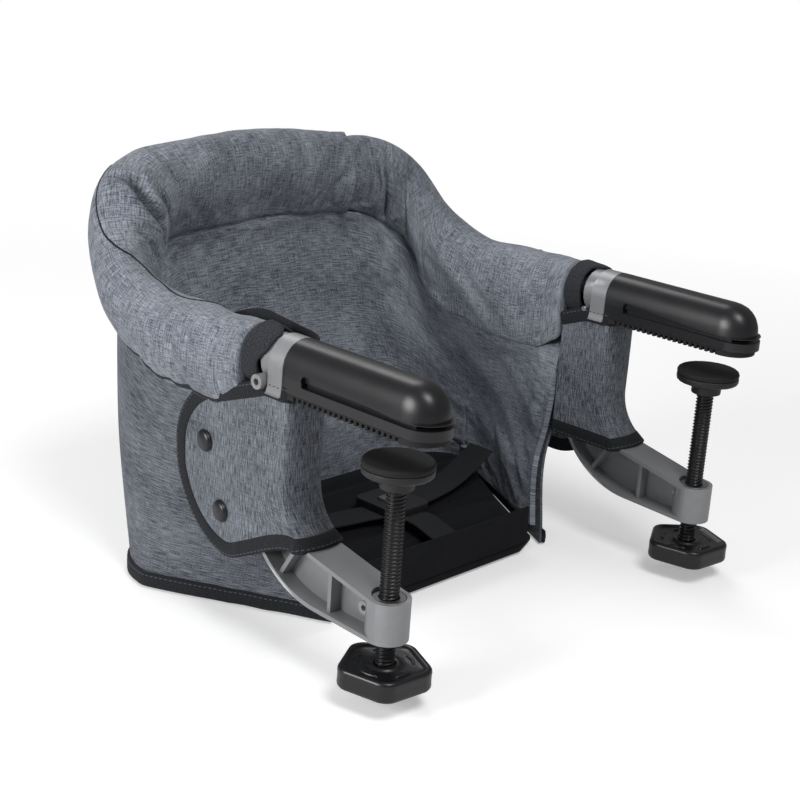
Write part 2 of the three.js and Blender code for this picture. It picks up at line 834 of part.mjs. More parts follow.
// A point of the wall's outer face before its folds, at a share along the wall and up it
function wallBase(alongShare, upShare) {
  const lean = wallFrontShare * ease(Math.min(upShare / wallFrontRiseShare, 1));
  const foot = wallFoot.getPointAt(mix(lean, 1 - lean, alongShare));
  const t = mix(rimStartShare, 1 - rimStartShare, alongShare);
  const along = frameLine.getTangentAt(t);
  const rimOutward = point(-along.y, along.x, 0).normalize();
  const head = frameLine.getPointAt(t).addScaledVector(rimOutward, (seatInset - clothGap) / 2);
  const rise = (upShare + ease(upShare)) / 2;
  const headZ = head.z - sleeveDrop - clothGap;
  return point(mix(foot.x, head.x, rise), mix(foot.y, head.y, rise), mix(-baseDrop, headZ, upShare));
}

// A point inside the wall's outer face by an inset, or outside it where the inset is negative
function wallPoint(alongShare, upShare, inset) {
  const step = 1 / wallFoot.getLength();
  const before = wallBase(Math.max(alongShare - step, 0), upShare);
  const along = wallBase(Math.min(alongShare + step, 1), upShare).sub(before);
  const outward = point(-along.y, along.x, 0).normalize();
  const amount = Math.sin(Math.PI * upShare) * Math.sin(Math.PI * alongShare) ** bulgeSquareness;
  const fold = shellFold * Math.sin(alongShare * Math.PI * shellFolds);
  return wallBase(alongShare, upShare).addScaledVector(outward, (shellBulge + fold) * amount - inset);
}

// A sheet that follows the wall between two insets, from one height above its foot to another below its head
function wallSheet(insetOut, insetIn, low, drop, columns, rows) {
  const place = (inset) => (up, along) => {
    const height = wallBase(along, 1).z + baseDrop;
    return wallPoint(along, mix(low / height, 1 - drop / height, up), inset);
  };
  return sheet(grid(rows, columns, place(insetOut)), grid(rows, columns, place(insetIn)));
}

// A band round the wall's bottom edge
function wallBand(insetOut, insetIn, height, columns) {
  const place = (inset) => (up, along) => {
    const wallHeight = wallBase(along, 1).z + baseDrop;
    return wallPoint(along, (height * up) / wallHeight, inset);
  };
  return sheet(grid(1, columns, place(insetOut)), grid(1, columns, place(insetIn)));
}

function buildCushion() {
  const outline = baseOutline(cushionInset);
  const low = boardTop + clothGap;
  const middle = point(0, (baseFront + baseSideBack + baseBackRadius) / 2, 0);
  const rings = cushionLevelShares.map(([share, edgeShare]) => outline.map((p) => {
    const flat = point(p.x, p.y, 0);
    const inward = middle.clone().sub(flat).normalize();
    return flat.addScaledVector(inward, cushionEdge * edgeShare).setZ(low + cushionHeight * share);
  }));
  const top = rings.at(-1);
  for (const share of crownShares) {
    rings.push(top.map((p) => {
      const crown = cushionCrown * Math.cos((Math.PI / 2) * share) ** crownFullness;
      return point(mix(middle.x, p.x, share), mix(middle.y, p.y, share), p.z + crown);
    }));
  }
  return loft(rings);
}

function buildSleeve() {
  const stations = rimStations(sleeveStations);
  const count = sleeveSides;
  const boreCount = sleeveBoreSides;
  const ringAt = ({ share, centre, along, outward }) => Array.from({ length: count }, (_, j) => {
    const angle = (Math.PI * 2 * j) / count;
    const up = Math.cos(angle);
    const middle = (sleeveTop - sleeveDrop) / 2;
    const height = middle + up * ((sleeveTop + sleeveDrop) / 2);
    const taper = mix(sleeveHem, sleeveHalfWidth, Math.sin((Math.PI / 2) * Math.min((up + 1) * sleeveShoulderShare, 1)));
    const ends = Math.min(share, 1 - share) / gatherRunShare;
    const gather = gatherHeight * Math.sin(share * Math.PI * 2 * gatherCount) * Math.sin(angle) ** 2 * Math.min(ends, 1);
    const wide = (taper + gather) * Math.sign(Math.sin(angle)) * Math.abs(Math.sin(angle)) ** sleeveSquareness;
    const upward = height > 0 ? along.clone().cross(outward).normalize() : point(0, 0, 1);
    return centre.clone().addScaledVector(outward, wide).addScaledVector(upward, height);
  });
  const outer = loft(stations.map(ringAt));
  const first = stations[0];
  const last = stations.at(-1);
  const before = { ...first, centre: first.centre.clone().addScaledVector(first.along, -overrun) };
  const after = { ...last, centre: last.centre.clone().addScaledVector(last.along, overrun) };
  const boreRing = ({ centre, along, outward }) => {
    const upward = outward.clone().cross(along).normalize();
    return Array.from({ length: boreCount }, (_, j) => {
      const angle = (Math.PI * 2 * j) / boreCount;
      const reach = sleeveBore / Math.cos(Math.PI / boreCount);
      return centre.clone()
        .addScaledVector(outward, reach * Math.cos(angle))
        .addScaledVector(upward, reach * Math.sin(angle));
    });
  };
  return cut(outer, loft([before, ...stations, after].map(boreRing)));
}

function buildCuff() {
  const from = point(0, eyeletY + eyeletRadius + seatGap, tubeHeight);
  const to = point(0, sleeveStart - seatGap, tubeHeight);
  const past = point(0, overrun, 0);
  return cut(rod(from, to, cuffRadius, 28, cuffEndRadius), rod(from.clone().sub(past), to.clone().add(past), cuffBore));
}

// Half width of the wall's outer face at a place and height, found along the wall by halving
function wallHalfWidth(y, z) {
  let low = 0;
  let high = 1 / 2;
  const at = (share) => {
    const height = wallBase(share, 1).z + baseDrop;
    return wallPoint(share, Math.min((z + baseDrop) / height, 1), 0);
  };
  for (let i = 0; i < 16; i += 1) {
    const middle = (low + high) / 2;
    if (at(middle).y < y) low = middle;
    else high = middle;
  }
  return Math.abs(at(low).x);
}

// Upper edge of a flap: level under the rim sleeve, and in front of it up to the collar's foot
function flapHighAt(y) {
  const risen = THREE.MathUtils.clamp((spineRear - y) / (spineRear - flapRiseFront), 0, 1);
  return mix(flapHigh, -flapFrontTop, risen);
}

// How far a flap's front leans forward at a height, to follow the bend of the arm
function flapLean(y, z) {
  const belowBend = THREE.MathUtils.clamp(z + bendDrop, bendDrop - flapNoseBottom, 0);
  const forward = THREE.MathUtils.clamp((spineRear - y) / (spineRear - flapFoldY), 0, 1);
  return (Math.sqrt(innerBend ** 2 - belowBend ** 2) - innerBend) * forward;
}

// Lower and upper edge of a flap's outer panel: its nose drops away from the fold, its rear is a half round
function flapHeights(y) {
  if (y > flapMiddle) {
    const share = (y - flapMiddle) / (flapRear - flapMiddle);
    const full = Math.sqrt(Math.max(1 - share * share, 0));
    const middle = -(flapTop + flapBottom) / 2;
    const half = (flapBottom - flapTop) / 2;
    return [middle - half * full, Math.min(middle + half * full, flapHigh)];
  }
  const forward = ((flapMiddle - y) / (flapMiddle - flapFoldY)) ** 4;
  return [mix(-flapBottom, -flapNoseBottom, forward), flapHighAt(y)];
}

// How far out the flap's outer face stands: level over the arm, then straight to the wall
function flapOut(y, z) {
  const overArm = armHalf + armWidth / 2 + clothGap + flapWall;
  if (y <= spineRear) return overArm;
  const onWall = (at) => wallHalfWidth(at, z) + flapOnWall;
  const away = (y - spineRear) / (flapRear - spineRear);
  return Math.max(mix(overArm, onWall(flapRear), away), onWall(y));
}

function buildFlap(side) {
  const fold = armWidth / 2 + clothGap + flapWall;
  const places = [];
  for (const y of [wallFront - seatGap, (wallFront + flapFoldY) / 2, flapFoldY]) {
    places.push({ y, outer: armHalf - fold, normal: [-1, 0], low: -flapFoldBottom });
  }
  for (let i = 1; i < flapFoldSteps; i += 1) {
    const angle = (Math.PI * i) / flapFoldSteps;
    const normal = [-Math.cos(angle), -Math.sin(angle)];
    const y = flapFoldY - flapFoldFront * Math.sin(angle);
    places.push({ y, outer: armHalf - fold * Math.cos(angle), normal, low: -flapFoldBottom });
  }
  for (const y of [flapFoldY, edgeToSpine, (edgeToSpine + spineRear) / 2, spineRear]) {
    places.push({ y, normal: [1, 0] });
  }
  for (let i = 0; i <= flapRearSteps; i += 1) {
    const share = Math.sin((Math.PI / 2) * (i / flapRearSteps)) * flapEndShare;
    places.push({ y: mix(flapMiddle, flapRear, share), normal: [1, 0] });
  }
  const face = (inset) => places.map(({ y, outer, normal, low: foldLow }) => {
    const [low, high] = foldLow ? [foldLow, flapHighAt(y)] : flapHeights(y);
    return Array.from({ length: flapRows + 1 }, (_, j) => {
      const z = mix(low, high, j / flapRows);
      const half = outer ?? flapOut(y, z);
      return point(side * (half - normal[0] * inset), y - normal[1] * inset + flapLean(y, z), z);
    });
  });
  return sheet(face(0), face(flapWall));
}

// A domed snap on the flap. It is turned to lie on the flap's slope
function buildSnap(side, index) {
  const [alongShare, downShare] = snapShares[index];
  const y = flapRear * alongShare;
  const z = -mix(flapTop, flapBottom, downShare);
  const slopeY = (flapOut(y + snapRadius, z) - flapOut(y - snapRadius, z)) / (2 * snapRadius);
  const slopeZ = (flapOut(y, z + snapRadius) - flapOut(y, z - snapRadius)) / (2 * snapRadius);
  const outward = point(side, -slopeY, -slopeZ).normalize();
  const profile = snapDomeShares.map(([radiusShare, heightShare]) =>
    new THREE.Vector2(snapRadius * radiusShare, snapHeight * heightShare));
  const dome = new THREE.LatheGeometry(profile, 14);
  dome.applyQuaternion(new THREE.Quaternion().setFromUnitVectors(point(0, 1, 0), outward));
  const seatPoint = point(side * flapOut(y, z), y, z).addScaledVector(outward, snapLift);
  return toSolid(dome).translate(seatPoint.toArray());
}

// The lap belt lies on the cushion, and meets the crotch strap at the buckle
const cushionTop = boardTop + clothGap + cushionHeight + cushionCrown;
const lapLift = cushionTop + clothGap;

function strapAlong(places, across) {
  const line = new THREE.CatmullRomCurve3(places);
  const steps = 10;
  const face = (lift) => Array.from({ length: steps + 1 }, (_, i) => {
    const middle = line.getPointAt(i / steps);
    return [-1, 0, 1].map((s) => middle.clone().addScaledVector(across, (s * strapWidth) / 2)
      .add(point(0, 0, lift)));
  });
  return sheet(face(strapThickness), face(0));
}

function buildLapStrap(side) {
  const inner = buckleWidth / 2 + seatGap;
  const strapFront = buckleBack + strapWidth / 2;
  const wallRun = (strapFront - baseCornerBack) / (baseSideBack - baseCornerBack);
  const outer = mix(baseCornerHalf, baseSideHalf, wallRun) - seatInset - lapEndGap;
  const mid = (inner + outer) / 2;
  const lift = lapLift + buckleHeight / 3;
  return strapAlong([
    point(side * inner, buckleBack, lift),
    point(side * mid, buckleBack + strapWidth / 2, lift),
    point(side * outer, buckleBack + strapWidth, lift + strapWidth / 2),
  ], point(0, 1, 0));
}

function buildCrotchStrap() {
  const lift = lapLift + buckleHeight / 3;
  return strapAlong([
    point(0, buckleBack - buckleLength / 2 - seatGap, lift),
    point(0, (buckleBack + baseFront) / 2, lift),
    point(0, apronBack + clothGap, cushionTop - strapThickness),
  ], point(1, 0, 0));
}

function roundedRectangle(width, length, radius, centreY) {
  const shape = new THREE.Shape();
  const [x, y] = [width / 2 - radius, length / 2 - radius];
  shape.absarc(x, centreY + y, radius, 0, Math.PI / 2);
  shape.absarc(-x, centreY + y, radius, Math.PI / 2, Math.PI);
  shape.absarc(-x, centreY - y, radius, Math.PI, Math.PI * 1.5);
  shape.absarc(x, centreY - y, radius, Math.PI * 1.5, Math.PI * 2);
  return shape;
}

function buildBuckle() {
  const body = alongZ(roundedRectangle(buckleWidth, buckleLength, buckleHeight / 2, buckleBack), lapLift, lapLift + buckleHeight, 4);
  const well = alongZ(
    roundedRectangle(buttonWidth + 2 * seatGap, buttonLength + 2 * seatGap, buckleHeight / 4, buckleBack),
    lapLift + buckleHeight - buttonTravel - buckleHeight / 3,
    lapLift + buckleHeight + overrun,
    3,
  );
  return cut(body, well);
}

function buildButton() {
  const low = lapLift + buckleHeight * (2 / 3) + seatGap;
  const high = lapLift + buckleHeight + buttonProud;
  return alongZ(roundedRectangle(buttonWidth, buttonLength, buckleHeight / 4, buckleBack), low, high, 3);
}

// Frame and seat
add('frame_tube', buildFrameTube(), steel);
add('rim_sleeve', buildSleeve(), linen);
add('outer_shell', wallSheet(0, shellWall, 0, 0, wallColumns, wallRows), linen);
add('inner_lining', wallSheet(liningInset, liningInset + liningWall, liningFoot, liningDrop, wallColumns, wallRows), linen);
add('seat_board', alongZ(planShape(baseOutline(footInset)), -baseDrop, boardTop, 6), blackCloth);
add('seat_cushion', buildCushion(), blackCloth);
add('bottom_binding', wallBand(-clothGap - bindingWall, -clothGap, bindingHeight, wallColumns), blackTape);
add('front_apron', block(
  point(clothGap - baseFrontHalf, apronBack - apronWall, boardTop + clothGap),
  point(baseFrontHalf - clothGap, apronBack, boardTop + apronHeight),
), blackCloth);
add('crotch_strap', buildCrotchStrap(), blackTape);
add('buckle_body', buildBuckle(), blackPlastic);
add('buckle_button', buildButton(), blackPlastic);

// The pieces that each side has
const sides = { right: -1, left: 1 };
for (const [name, side] of Object.entries(sides)) {
  const arm = point(side * armHalf, 0, 0);
  const screw = point(side * armHalf, -bossOut, 0);
  const pinZ = -bossTop - insertPinDrop;
  const pinEnd = collarSide - collarPinSink;
  add(`${name}_grip_cover`, buildGripCover(), blackPlastic, arm);
  add(`${name}_grip_sole`, buildGripSole(), blackRubber, arm);
  add(`${name}_tube_cuff`, buildCuff(), blackTape, arm);
  add(`${name}_clamp_arm`, buildArm(side), castAlloy, arm);
  add(`${name}_collar_pin`, rod(point(-pinEnd, eyeletY, eyeletHeight), point(pinEnd, eyeletY, eyeletHeight), collarPinRadius, 14), steel, arm);
  add(`${name}_screw_insert`, buildInsert(), steel, screw);
  add(`${name}_insert_pin`, rod(
    point(-bossRadius / 2, insertPinY, pinZ),
    point(bossRadius / 2, insertPinY, pinZ),
    insertPinRadius,
    12,
  ), steel, arm);
  add(`${name}_pad_facing`, buildPadFacing(), blackRubber, screw);
  add(`${name}_pad_plate`, buildPadPlate(), blackPlastic, screw);
  add(`${name}_clamp_screw`, buildScrew(), blackThread, screw);
  add(`${name}_screw_knob`, buildKnob(), blackPlastic, arm);
  add(`${name}_side_flap`, buildFlap(side), linen);
  add(`${name}_upper_snap`, buildSnap(side, 0), blackPlastic);
  add(`${name}_lower_snap`, buildSnap(side, 1), blackPlastic);
  add(`${name}_lap_strap`, buildLapStrap(side), blackTape);
}

export default seat;
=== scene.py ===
"""Looks of a child's fabric seat that hooks on the edge of a table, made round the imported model.

Metres. X runs across the seat, +Y away from the table, +Z up, as in the model. The right side is at -X.
"""

import math

import bmesh
import bpy
import numpy as np
from mathutils import Matrix, Vector, noise


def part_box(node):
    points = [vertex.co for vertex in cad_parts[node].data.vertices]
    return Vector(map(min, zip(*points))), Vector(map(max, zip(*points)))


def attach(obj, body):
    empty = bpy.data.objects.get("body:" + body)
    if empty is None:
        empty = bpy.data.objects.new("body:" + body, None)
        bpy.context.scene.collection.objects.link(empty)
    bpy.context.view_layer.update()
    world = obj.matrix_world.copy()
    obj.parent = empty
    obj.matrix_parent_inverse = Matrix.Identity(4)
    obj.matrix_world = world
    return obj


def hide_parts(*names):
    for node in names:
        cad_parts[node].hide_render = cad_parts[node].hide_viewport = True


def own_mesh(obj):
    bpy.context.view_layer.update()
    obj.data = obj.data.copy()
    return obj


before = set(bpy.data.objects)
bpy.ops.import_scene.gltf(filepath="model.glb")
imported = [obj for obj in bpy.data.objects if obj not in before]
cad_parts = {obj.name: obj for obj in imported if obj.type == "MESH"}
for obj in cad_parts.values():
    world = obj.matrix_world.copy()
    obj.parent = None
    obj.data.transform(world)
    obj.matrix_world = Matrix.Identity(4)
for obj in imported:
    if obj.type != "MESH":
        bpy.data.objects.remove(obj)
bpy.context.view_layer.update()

bl_info = {
    "name": "Table seat looks",
    "version": (1, 0, 0),
    "blender": (4, 5, 0),
    "location": "3D View > Sidebar > Table Seat",
    "description": "Dresses the packed table seat with its fabric, castings, grips and screws",
    "category": "Object",
}

SIDES = {"right": -1, "left": 1}
MM = 0.001
TURN = 2 * math.pi
QUARTER = math.pi / 2
UP = np.array([0.0, 0, 1])
TINY = 1e-12  # least length that a number is divided by
STEP = 1 * MM  # for the slope of a line or a surface
WELD_REACH = 0.002 * MM  # points closer than this are one point


def middle(node):
    """The middle of a solid's box."""
    low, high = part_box(node)
    return (low + high) / 2


# Places taken from the solids
SCREW = {side: middle(f"{side}_clamp_screw") for side in SIDES}
ARM_HALF = SCREW["left"].x
SHELL_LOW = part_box("outer_shell")[0].z
SLEEVE_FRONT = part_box("rim_sleeve")[0].y
GRIP_LOW, GRIP_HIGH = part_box("left_grip_cover")

# Rim tube
PIN_DROP = 12.2 * MM
TUBE_HEIGHT = middle("left_collar_pin").z + PIN_DROP
TUBE_REACH = 95 * MM
STRAIGHT_END = 100 * MM
BACK_DEPTH = 238 * MM
BACK_HEIGHT = 99 * MM
BACK_CORNER_SHARES = [
    (0.006, 0.36, 0.025),
    (0.042, 0.69, 0.24),
    (0.152, 0.884, 0.66),
    (0.321, 0.98, 0.87),
    (0.576, 1, 0.97),
]

# Base of the seat in plan
BASE_FRONT = 11 * MM
BASE_FRONT_HALF = 92 * MM
BASE_CORNER_X = 114 * MM
BASE_CORNER_Y = 20 * MM
BASE_SIDE_HALF = 180 * MM
BASE_SIDE_Y = 146 * MM
BASE_BACK_RADIUS = 52 * MM

# Walls
SHELL_WALL = 4 * MM
LINING_WALL = 9 * MM
CLOTH_GAP = 0.6 * MM
FACET_SLACK = 1.8 * MM
LINING_INSET = SHELL_WALL + CLOTH_GAP + FACET_SLACK
SEAT_INSET = LINING_INSET + LINING_WALL + CLOTH_GAP
LINING_FOOT = 14 * MM
LINING_SWELL = 10 * MM
WALL_FRONT_SHARE = 0.047
WALL_FRONT_RISE_SHARE = 0.45
SHELL_BULGE = 4 * MM
BULGE_POWER = 0.4
BINDING_HEIGHT = 11 * MM
BINDING_WALL = 2.4 * MM

# Rim sleeve
SLEEVE_TOP = 18 * MM
SLEEVE_DROP = 39 * MM
SLEEVE_HANG = 46 * MM
SLEEVE_HALF_WIDTH = 21 * MM
SLEEVE_HEM = 13 * MM
INNER_HEM_HALF = 18.5 * MM
HEM_SLANT = 5 * MM
FRONT_LIFT = 9 * MM
FRONT_SAG = 3 * MM
SLEEVE_BORE = 12.4 * MM

# Flaps
ARM_WIDTH = 28.6 * MM
SPINE_REAR = 45 * MM
FLAP_WALL = 2.4 * MM
FLAP_REAR = 113 * MM
FLAP_MIDDLE = 62 * MM
FLAP_TOP = -17 * MM
FLAP_BOTTOM = -117 * MM
FLAP_FRONT_TOP = -2.5 * MM
FLAP_RISE_FRONT = 24 * MM
FLAP_RISE_REAR = 74 * MM
FLAP_NOSE_BOTTOM = -90 * MM
BEND_DROP = 60 * MM
INNER_BEND = 38 * MM
FLAP_FOLD_FRONT = 5 * MM
FLAP_FOLD_Y = 5 * MM
FLAP_HIGH = TUBE_HEIGHT - SLEEVE_DROP - CLOTH_GAP
FLAP_END_SHARE = 0.985
SNAP_RADIUS = 7.8 * MM
SNAP_HEIGHT = 3.8 * MM
SNAP_LIFT = 0.7 * MM
SNAP_SHARES = {"upper": (0.76, 0.35), "lower": (0.58, 0.79)}


# Sizes and colours that a user would change
def metres(name, description, default, least=0.0):
    """A length that a user can change."""
    return bpy.props.FloatProperty(
        name=name, description=description, default=default, min=least, unit="LENGTH")


class SeatSizes(bpy.types.PropertyGroup):
    """Sizes of the finishing detail."""

    edge_round: metres("Edge round", "Rounding of cast and moulded edges", 0.7 * MM)
    thread_pitch: metres("Thread pitch", "Distance between the turns of the clamp screw", 2.5 * MM, MM)
    thread_depth: metres("Thread depth", "Depth of the clamp screw's thread", 0.9 * MM)
    tape_width: metres("Tape width", "Width of the tape that binds the flaps", 10 * MM, MM)
    hem_tape: metres("Hem tape", "Width of the tape on the sleeve's lower edge", 7 * MM, MM)
    piping_radius: metres("Piping radius", "Radius of the piped seams on the sleeve", 0.85 * MM, 0.1 * MM)
    stitch_length: metres("Stitch length", "Length of one stitch", 2.6 * MM, 0.5 * MM)
    stitch_gap: metres("Stitch gap", "Gap between two stitches", 1.2 * MM, 0.1 * MM)
    wrinkle: metres("Wrinkle", "Height of the soft wrinkles in the fabric", 2.2 * MM)


def colour(name, description, default):
    """A colour that a user can change."""
    return bpy.props.FloatVectorProperty(
        name=name, description=description, subtype="COLOR", size=3, min=0, max=1, default=default)


class SeatColours(bpy.types.PropertyGroup):
    """Colours of the finishes."""

    linen_light: colour("Light thread", "Light threads of the linen", (0.36, 0.39, 0.44))
    linen_dark: colour("Dark thread", "Dark threads of the linen", (0.052, 0.06, 0.08))
    cloth_black: colour("Black cloth", "Fabric of the base and the cushion", (0.005, 0.0053, 0.0065))
    tape: colour("Tape", "Binding, cuffs and straps", (0.007, 0.0075, 0.009))
    grip: colour("Grip", "Moulded grips", (0.008, 0.0083, 0.0098))
    rubber: colour("Rubber", "Soles and pad facings", (0.008, 0.008, 0.009))
    cast: colour("Casting", "Cast clamp arms", (0.23, 0.233, 0.242))
    steel: colour("Steel", "Pins, inserts and the rim tube", (0.5, 0.5, 0.51))
    screw: colour("Screw", "Blackened screw rods", (0.012, 0.012, 0.013))
    knob: colour("Knob", "Hand knobs", (0.006, 0.006, 0.0075))
    snap: colour("Snap", "Snaps on the flaps", (0.005, 0.0056, 0.0098))
    buckle: colour("Buckle", "Harness buckle", (0.01, 0.01, 0.011))
    button: colour("Button", "Push button of the buckle", (0.09, 0.09, 0.095))
    floor: colour("Floor", "Floor and backdrop", (0.86, 0.86, 0.86))


def sizes():
    return bpy.context.scene.seat_sizes


def colours():
    return bpy.context.scene.seat_colours


# Lines through places, measured along their length
class Line:
    """A smooth line through places, as a table of points at equal steps of length."""

    STEPS_A_SPAN = 24

    def __init__(self, places):
        places = [np.array(place, float) for place in places]
        ends = [2 * places[0] - places[1], *places, 2 * places[-1] - places[-2]]
        points = [span_point(ends[i:i + 4], step / self.STEPS_A_SPAN)
                  for i in range(len(places) - 1) for step in range(self.STEPS_A_SPAN)]
        self.points = np.array([*points, places[-1]])
        self.reach = reach_along(self.points)
        self.length = self.reach[-1]

    def at(self, share):
        return table_at(np.asarray(share) * self.length, self.reach, self.points)

    def tangent(self, share):
        step = STEP / self.length
        ahead = self.at(np.minimum(share + step, 1)) - self.at(np.maximum(share - step, 0))
        return unit(ahead)


def span_point(places, share):
    """A point of the centripetal curve between the middle two of four places."""
    p0, p1, p2, p3 = places
    d0, d1, d2 = (max(np.linalg.norm(b - a), TINY) ** 0.5 for a, b in zip(places, places[1:]))
    t1 = ((p1 - p0) / d0 - (p2 - p0) / (d0 + d1) + (p2 - p1) / d1) * d1
    t2 = ((p2 - p1) / d1 - (p3 - p1) / (d1 + d2) + (p3 - p2) / d2) * d1
    cubic = 2 * p1 - 2 * p2 + t1 + t2
    square = -3 * p1 + 3 * p2 - 2 * t1 - t2
    return p1 + t1 * share + square * share ** 2 + cubic * share ** 3


def unit(vectors):
    reach = np.linalg.norm(vectors, axis=-1, keepdims=True)
    return vectors / np.maximum(reach, TINY)


def sideways(along):
    """Level unit vectors at right angles to directions, on the side that is outside the seat."""
    return unit(np.stack([-along[..., 1], along[..., 0], np.zeros_like(along[..., 0])], -1))


def reach_along(points):
    """The length of a line of points up to each of them."""
    steps = np.linalg.norm(np.diff(points, axis=0), axis=1)
    return np.concatenate([[0], np.cumsum(steps)])


def table_at(where, reach, table):
    """Points or vectors of a table at lengths along it."""
    return np.stack([np.interp(where, reach, table[:, k]) for k in range(3)], -1)


def even_turns(count):
    """Turns at equal steps round a circle."""
    return np.arange(count) * TURN / count


def turned(radius, turns, height):
    """Points about the Z axis, at radii, turns and heights."""
    radius, turns, height = np.broadcast_arrays(radius, turns, height)
    return np.stack([radius * np.cos(turns), radius * np.sin(turns), height], -1)


def mix(a, b, share):
    return a + (b - a) * share


def ease(share):
    share = np.clip(share, 0, 1)
    return share * share * (3 - 2 * share)


def hill(value, centre, width):
    """A smooth rise to one round a centre."""
    return np.exp(-((value - centre) / width) ** 2)


def rim_line():
    half = [(-ARM_HALF, -TUBE_REACH, TUBE_HEIGHT), (-ARM_HALF, STRAIGHT_END / 2, TUBE_HEIGHT),
            (-ARM_HALF, STRAIGHT_END, TUBE_HEIGHT)]
    for inward, back, up in BACK_CORNER_SHARES:
        half.append((-ARM_HALF * (1 - inward), mix(STRAIGHT_END, BACK_DEPTH, back),
                     mix(TUBE_HEIGHT, BACK_HEIGHT, up)))
    mirrored = [(-x, y, z) for x, y, z in reversed(half)]
    return Line([*half, (0, BACK_DEPTH, BACK_HEIGHT), *mirrored])


def foot_line():
    centre_x = BASE_SIDE_HALF - BASE_BACK_RADIUS
    steps = 16
    arc = [(centre_x + BASE_BACK_RADIUS * math.cos(QUARTER * i / steps),
            BASE_SIDE_Y + BASE_BACK_RADIUS * math.sin(QUARTER * i / steps)) for i in range(steps + 1)]
    half = [(BASE_CORNER_X, BASE_CORNER_Y), *arc, (0, BASE_SIDE_Y + BASE_BACK_RADIUS)]
    right = [(-x, y, 0) for x, y in half[:-1]]
    left = [(x, y, 0) for x, y in reversed(half)]
    return Line([*right, *left])


RIM = rim_line()
FOOT = foot_line()
RIM_START_SHARE = (SLEEVE_FRONT + TUBE_REACH + CLOTH_GAP) / RIM.length


def wall_base(along, up):
    """A point of the wall's outer face before its bulge, at shares along the wall and up it."""
    lean = WALL_FRONT_SHARE * ease(np.minimum(up / WALL_FRONT_RISE_SHARE, 1))
    foot = FOOT.at(mix(lean, 1 - lean, along))
    share = mix(RIM_START_SHARE, 1 - RIM_START_SHARE, along)
    head = RIM.at(share) + sideways(RIM.tangent(share)) * (SEAT_INSET - CLOTH_GAP) / 2
    rise = (up + ease(up)) / 2
    head_z = head[..., 2] - SLEEVE_DROP - CLOTH_GAP
    return np.stack([mix(foot[..., 0], head[..., 0], rise), mix(foot[..., 1], head[..., 1], rise),
                     mix(SHELL_LOW, head_z, up)], -1)


def wall_head(along):
    """Height of the wall's head at shares along the wall."""
    return wall_base(along, np.ones_like(along))[..., 2]


def wall_outward(along, up):
    step = STEP / FOOT.length
    return sideways(wall_base(np.minimum(along + step, 1), up) - wall_base(np.maximum(along - step, 0), up))


def wall_point(along, up, inset):
    """A point inside the wall's outer face by an inset, or outside it where the inset is negative."""
    amount = np.sin(math.pi * up) * np.sin(math.pi * along) ** BULGE_POWER
    return wall_base(along, up) + wall_outward(along, up) * (SHELL_BULGE * amount - inset)[..., None]


# Meshes
def grid_piece(name, points, cloth=None, closed=False, capped=False):
    """A piece of quads over rows and columns of points. The cloth map holds metres of fabric."""
    rows, columns = points.shape[:2]
    spans = columns if closed else columns - 1
    i, j = np.meshgrid(np.arange(rows - 1), np.arange(spans), indexing="ij")
    k = (j + 1) % columns
    faces = np.stack([i * columns + j, i * columns + k, (i + 1) * columns + k, (i + 1) * columns + j], -1)
    mesh = bpy.data.meshes.new(name)
    mesh.from_pydata(points.reshape(-1, 3).tolist(), [], faces.reshape(-1, 4).tolist())
    flat = cloth_map(points, closed) if cloth is None else cloth
    corners = np.stack([flat[i, j], flat[i, j + 1], flat[i + 1, j + 1], flat[i + 1, j]], -2)
    layer = mesh.uv_layers.new(name="Cloth")
    layer.data.foreach_set("uv", corners.astype(np.float32).ravel())
    if capped:
        cap_ends(mesh)
    return link_piece(name, mesh)


def cloth_map(points, closed):
    """Metres along the rows and across the columns of a grid of points."""
    ring = np.concatenate([points, points[:, :1]], 1) if closed else points
    across = np.linalg.norm(np.diff(ring, axis=1), axis=2)
    across = np.concatenate([np.zeros((len(ring), 1)), np.cumsum(across, 1)], 1)
    down = np.linalg.norm(np.diff(ring, axis=0), axis=2).mean(1)
    down = np.concatenate([[0], np.cumsum(down)])
    return np.stack([across, np.broadcast_to(down[:, None], across.shape)], -1)


def link_piece(name, mesh):
    piece = bpy.data.objects.new(name, mesh)
    bpy.context.scene.collection.objects.link(piece)
    return piece


def edit(mesh, change):
    """Runs a change on a mesh as a bmesh."""
    work = bmesh.new()
    work.from_mesh(mesh)
    change(work)
    work.to_mesh(mesh)
    work.free()
    mesh.update()


def cap_ends(mesh):
    def change(work):
        open_edges = [edge for edge in work.edges if edge.is_boundary]
        bmesh.ops.holes_fill(work, edges=open_edges, sides=0)
        bmesh.ops.recalc_face_normals(work, faces=work.faces)
    edit(mesh, change)


def facing(piece, direction, vertex):
    """Turns a piece's faces over where the normal at a vertex points against a direction."""
    if Vector(vertex_normals(piece.data)[vertex].tolist()).dot(Vector(direction)) < 0:
        piece.data.flip_normals()


def smooth(piece, degrees=35):
    """Shades a piece smooth, but for edges that bend more than an angle."""
    piece.data.shade_smooth()
    piece.data.set_sharp_from_angle(angle=math.radians(degrees))


def settle(piece):
    """Keeps the shape that the piece's modifiers give, and takes them off."""
    bpy.context.view_layer.update()
    graph = bpy.context.evaluated_depsgraph_get()
    made = bpy.data.meshes.new_from_object(piece.evaluated_get(graph))
    piece.modifiers.clear()
    piece.data = made


def thicken(piece, thickness, outwards=False):
    solid = piece.modifiers.new("Thickness", "SOLIDIFY")
    solid.thickness = thickness
    solid.offset = 1 if outwards else -1
    settle(piece)


def soften(piece, levels=1):
    subdivided = piece.modifiers.new("Subdivision", "SUBSURF")
    subdivided.levels = subdivided.render_levels = levels
    settle(piece)


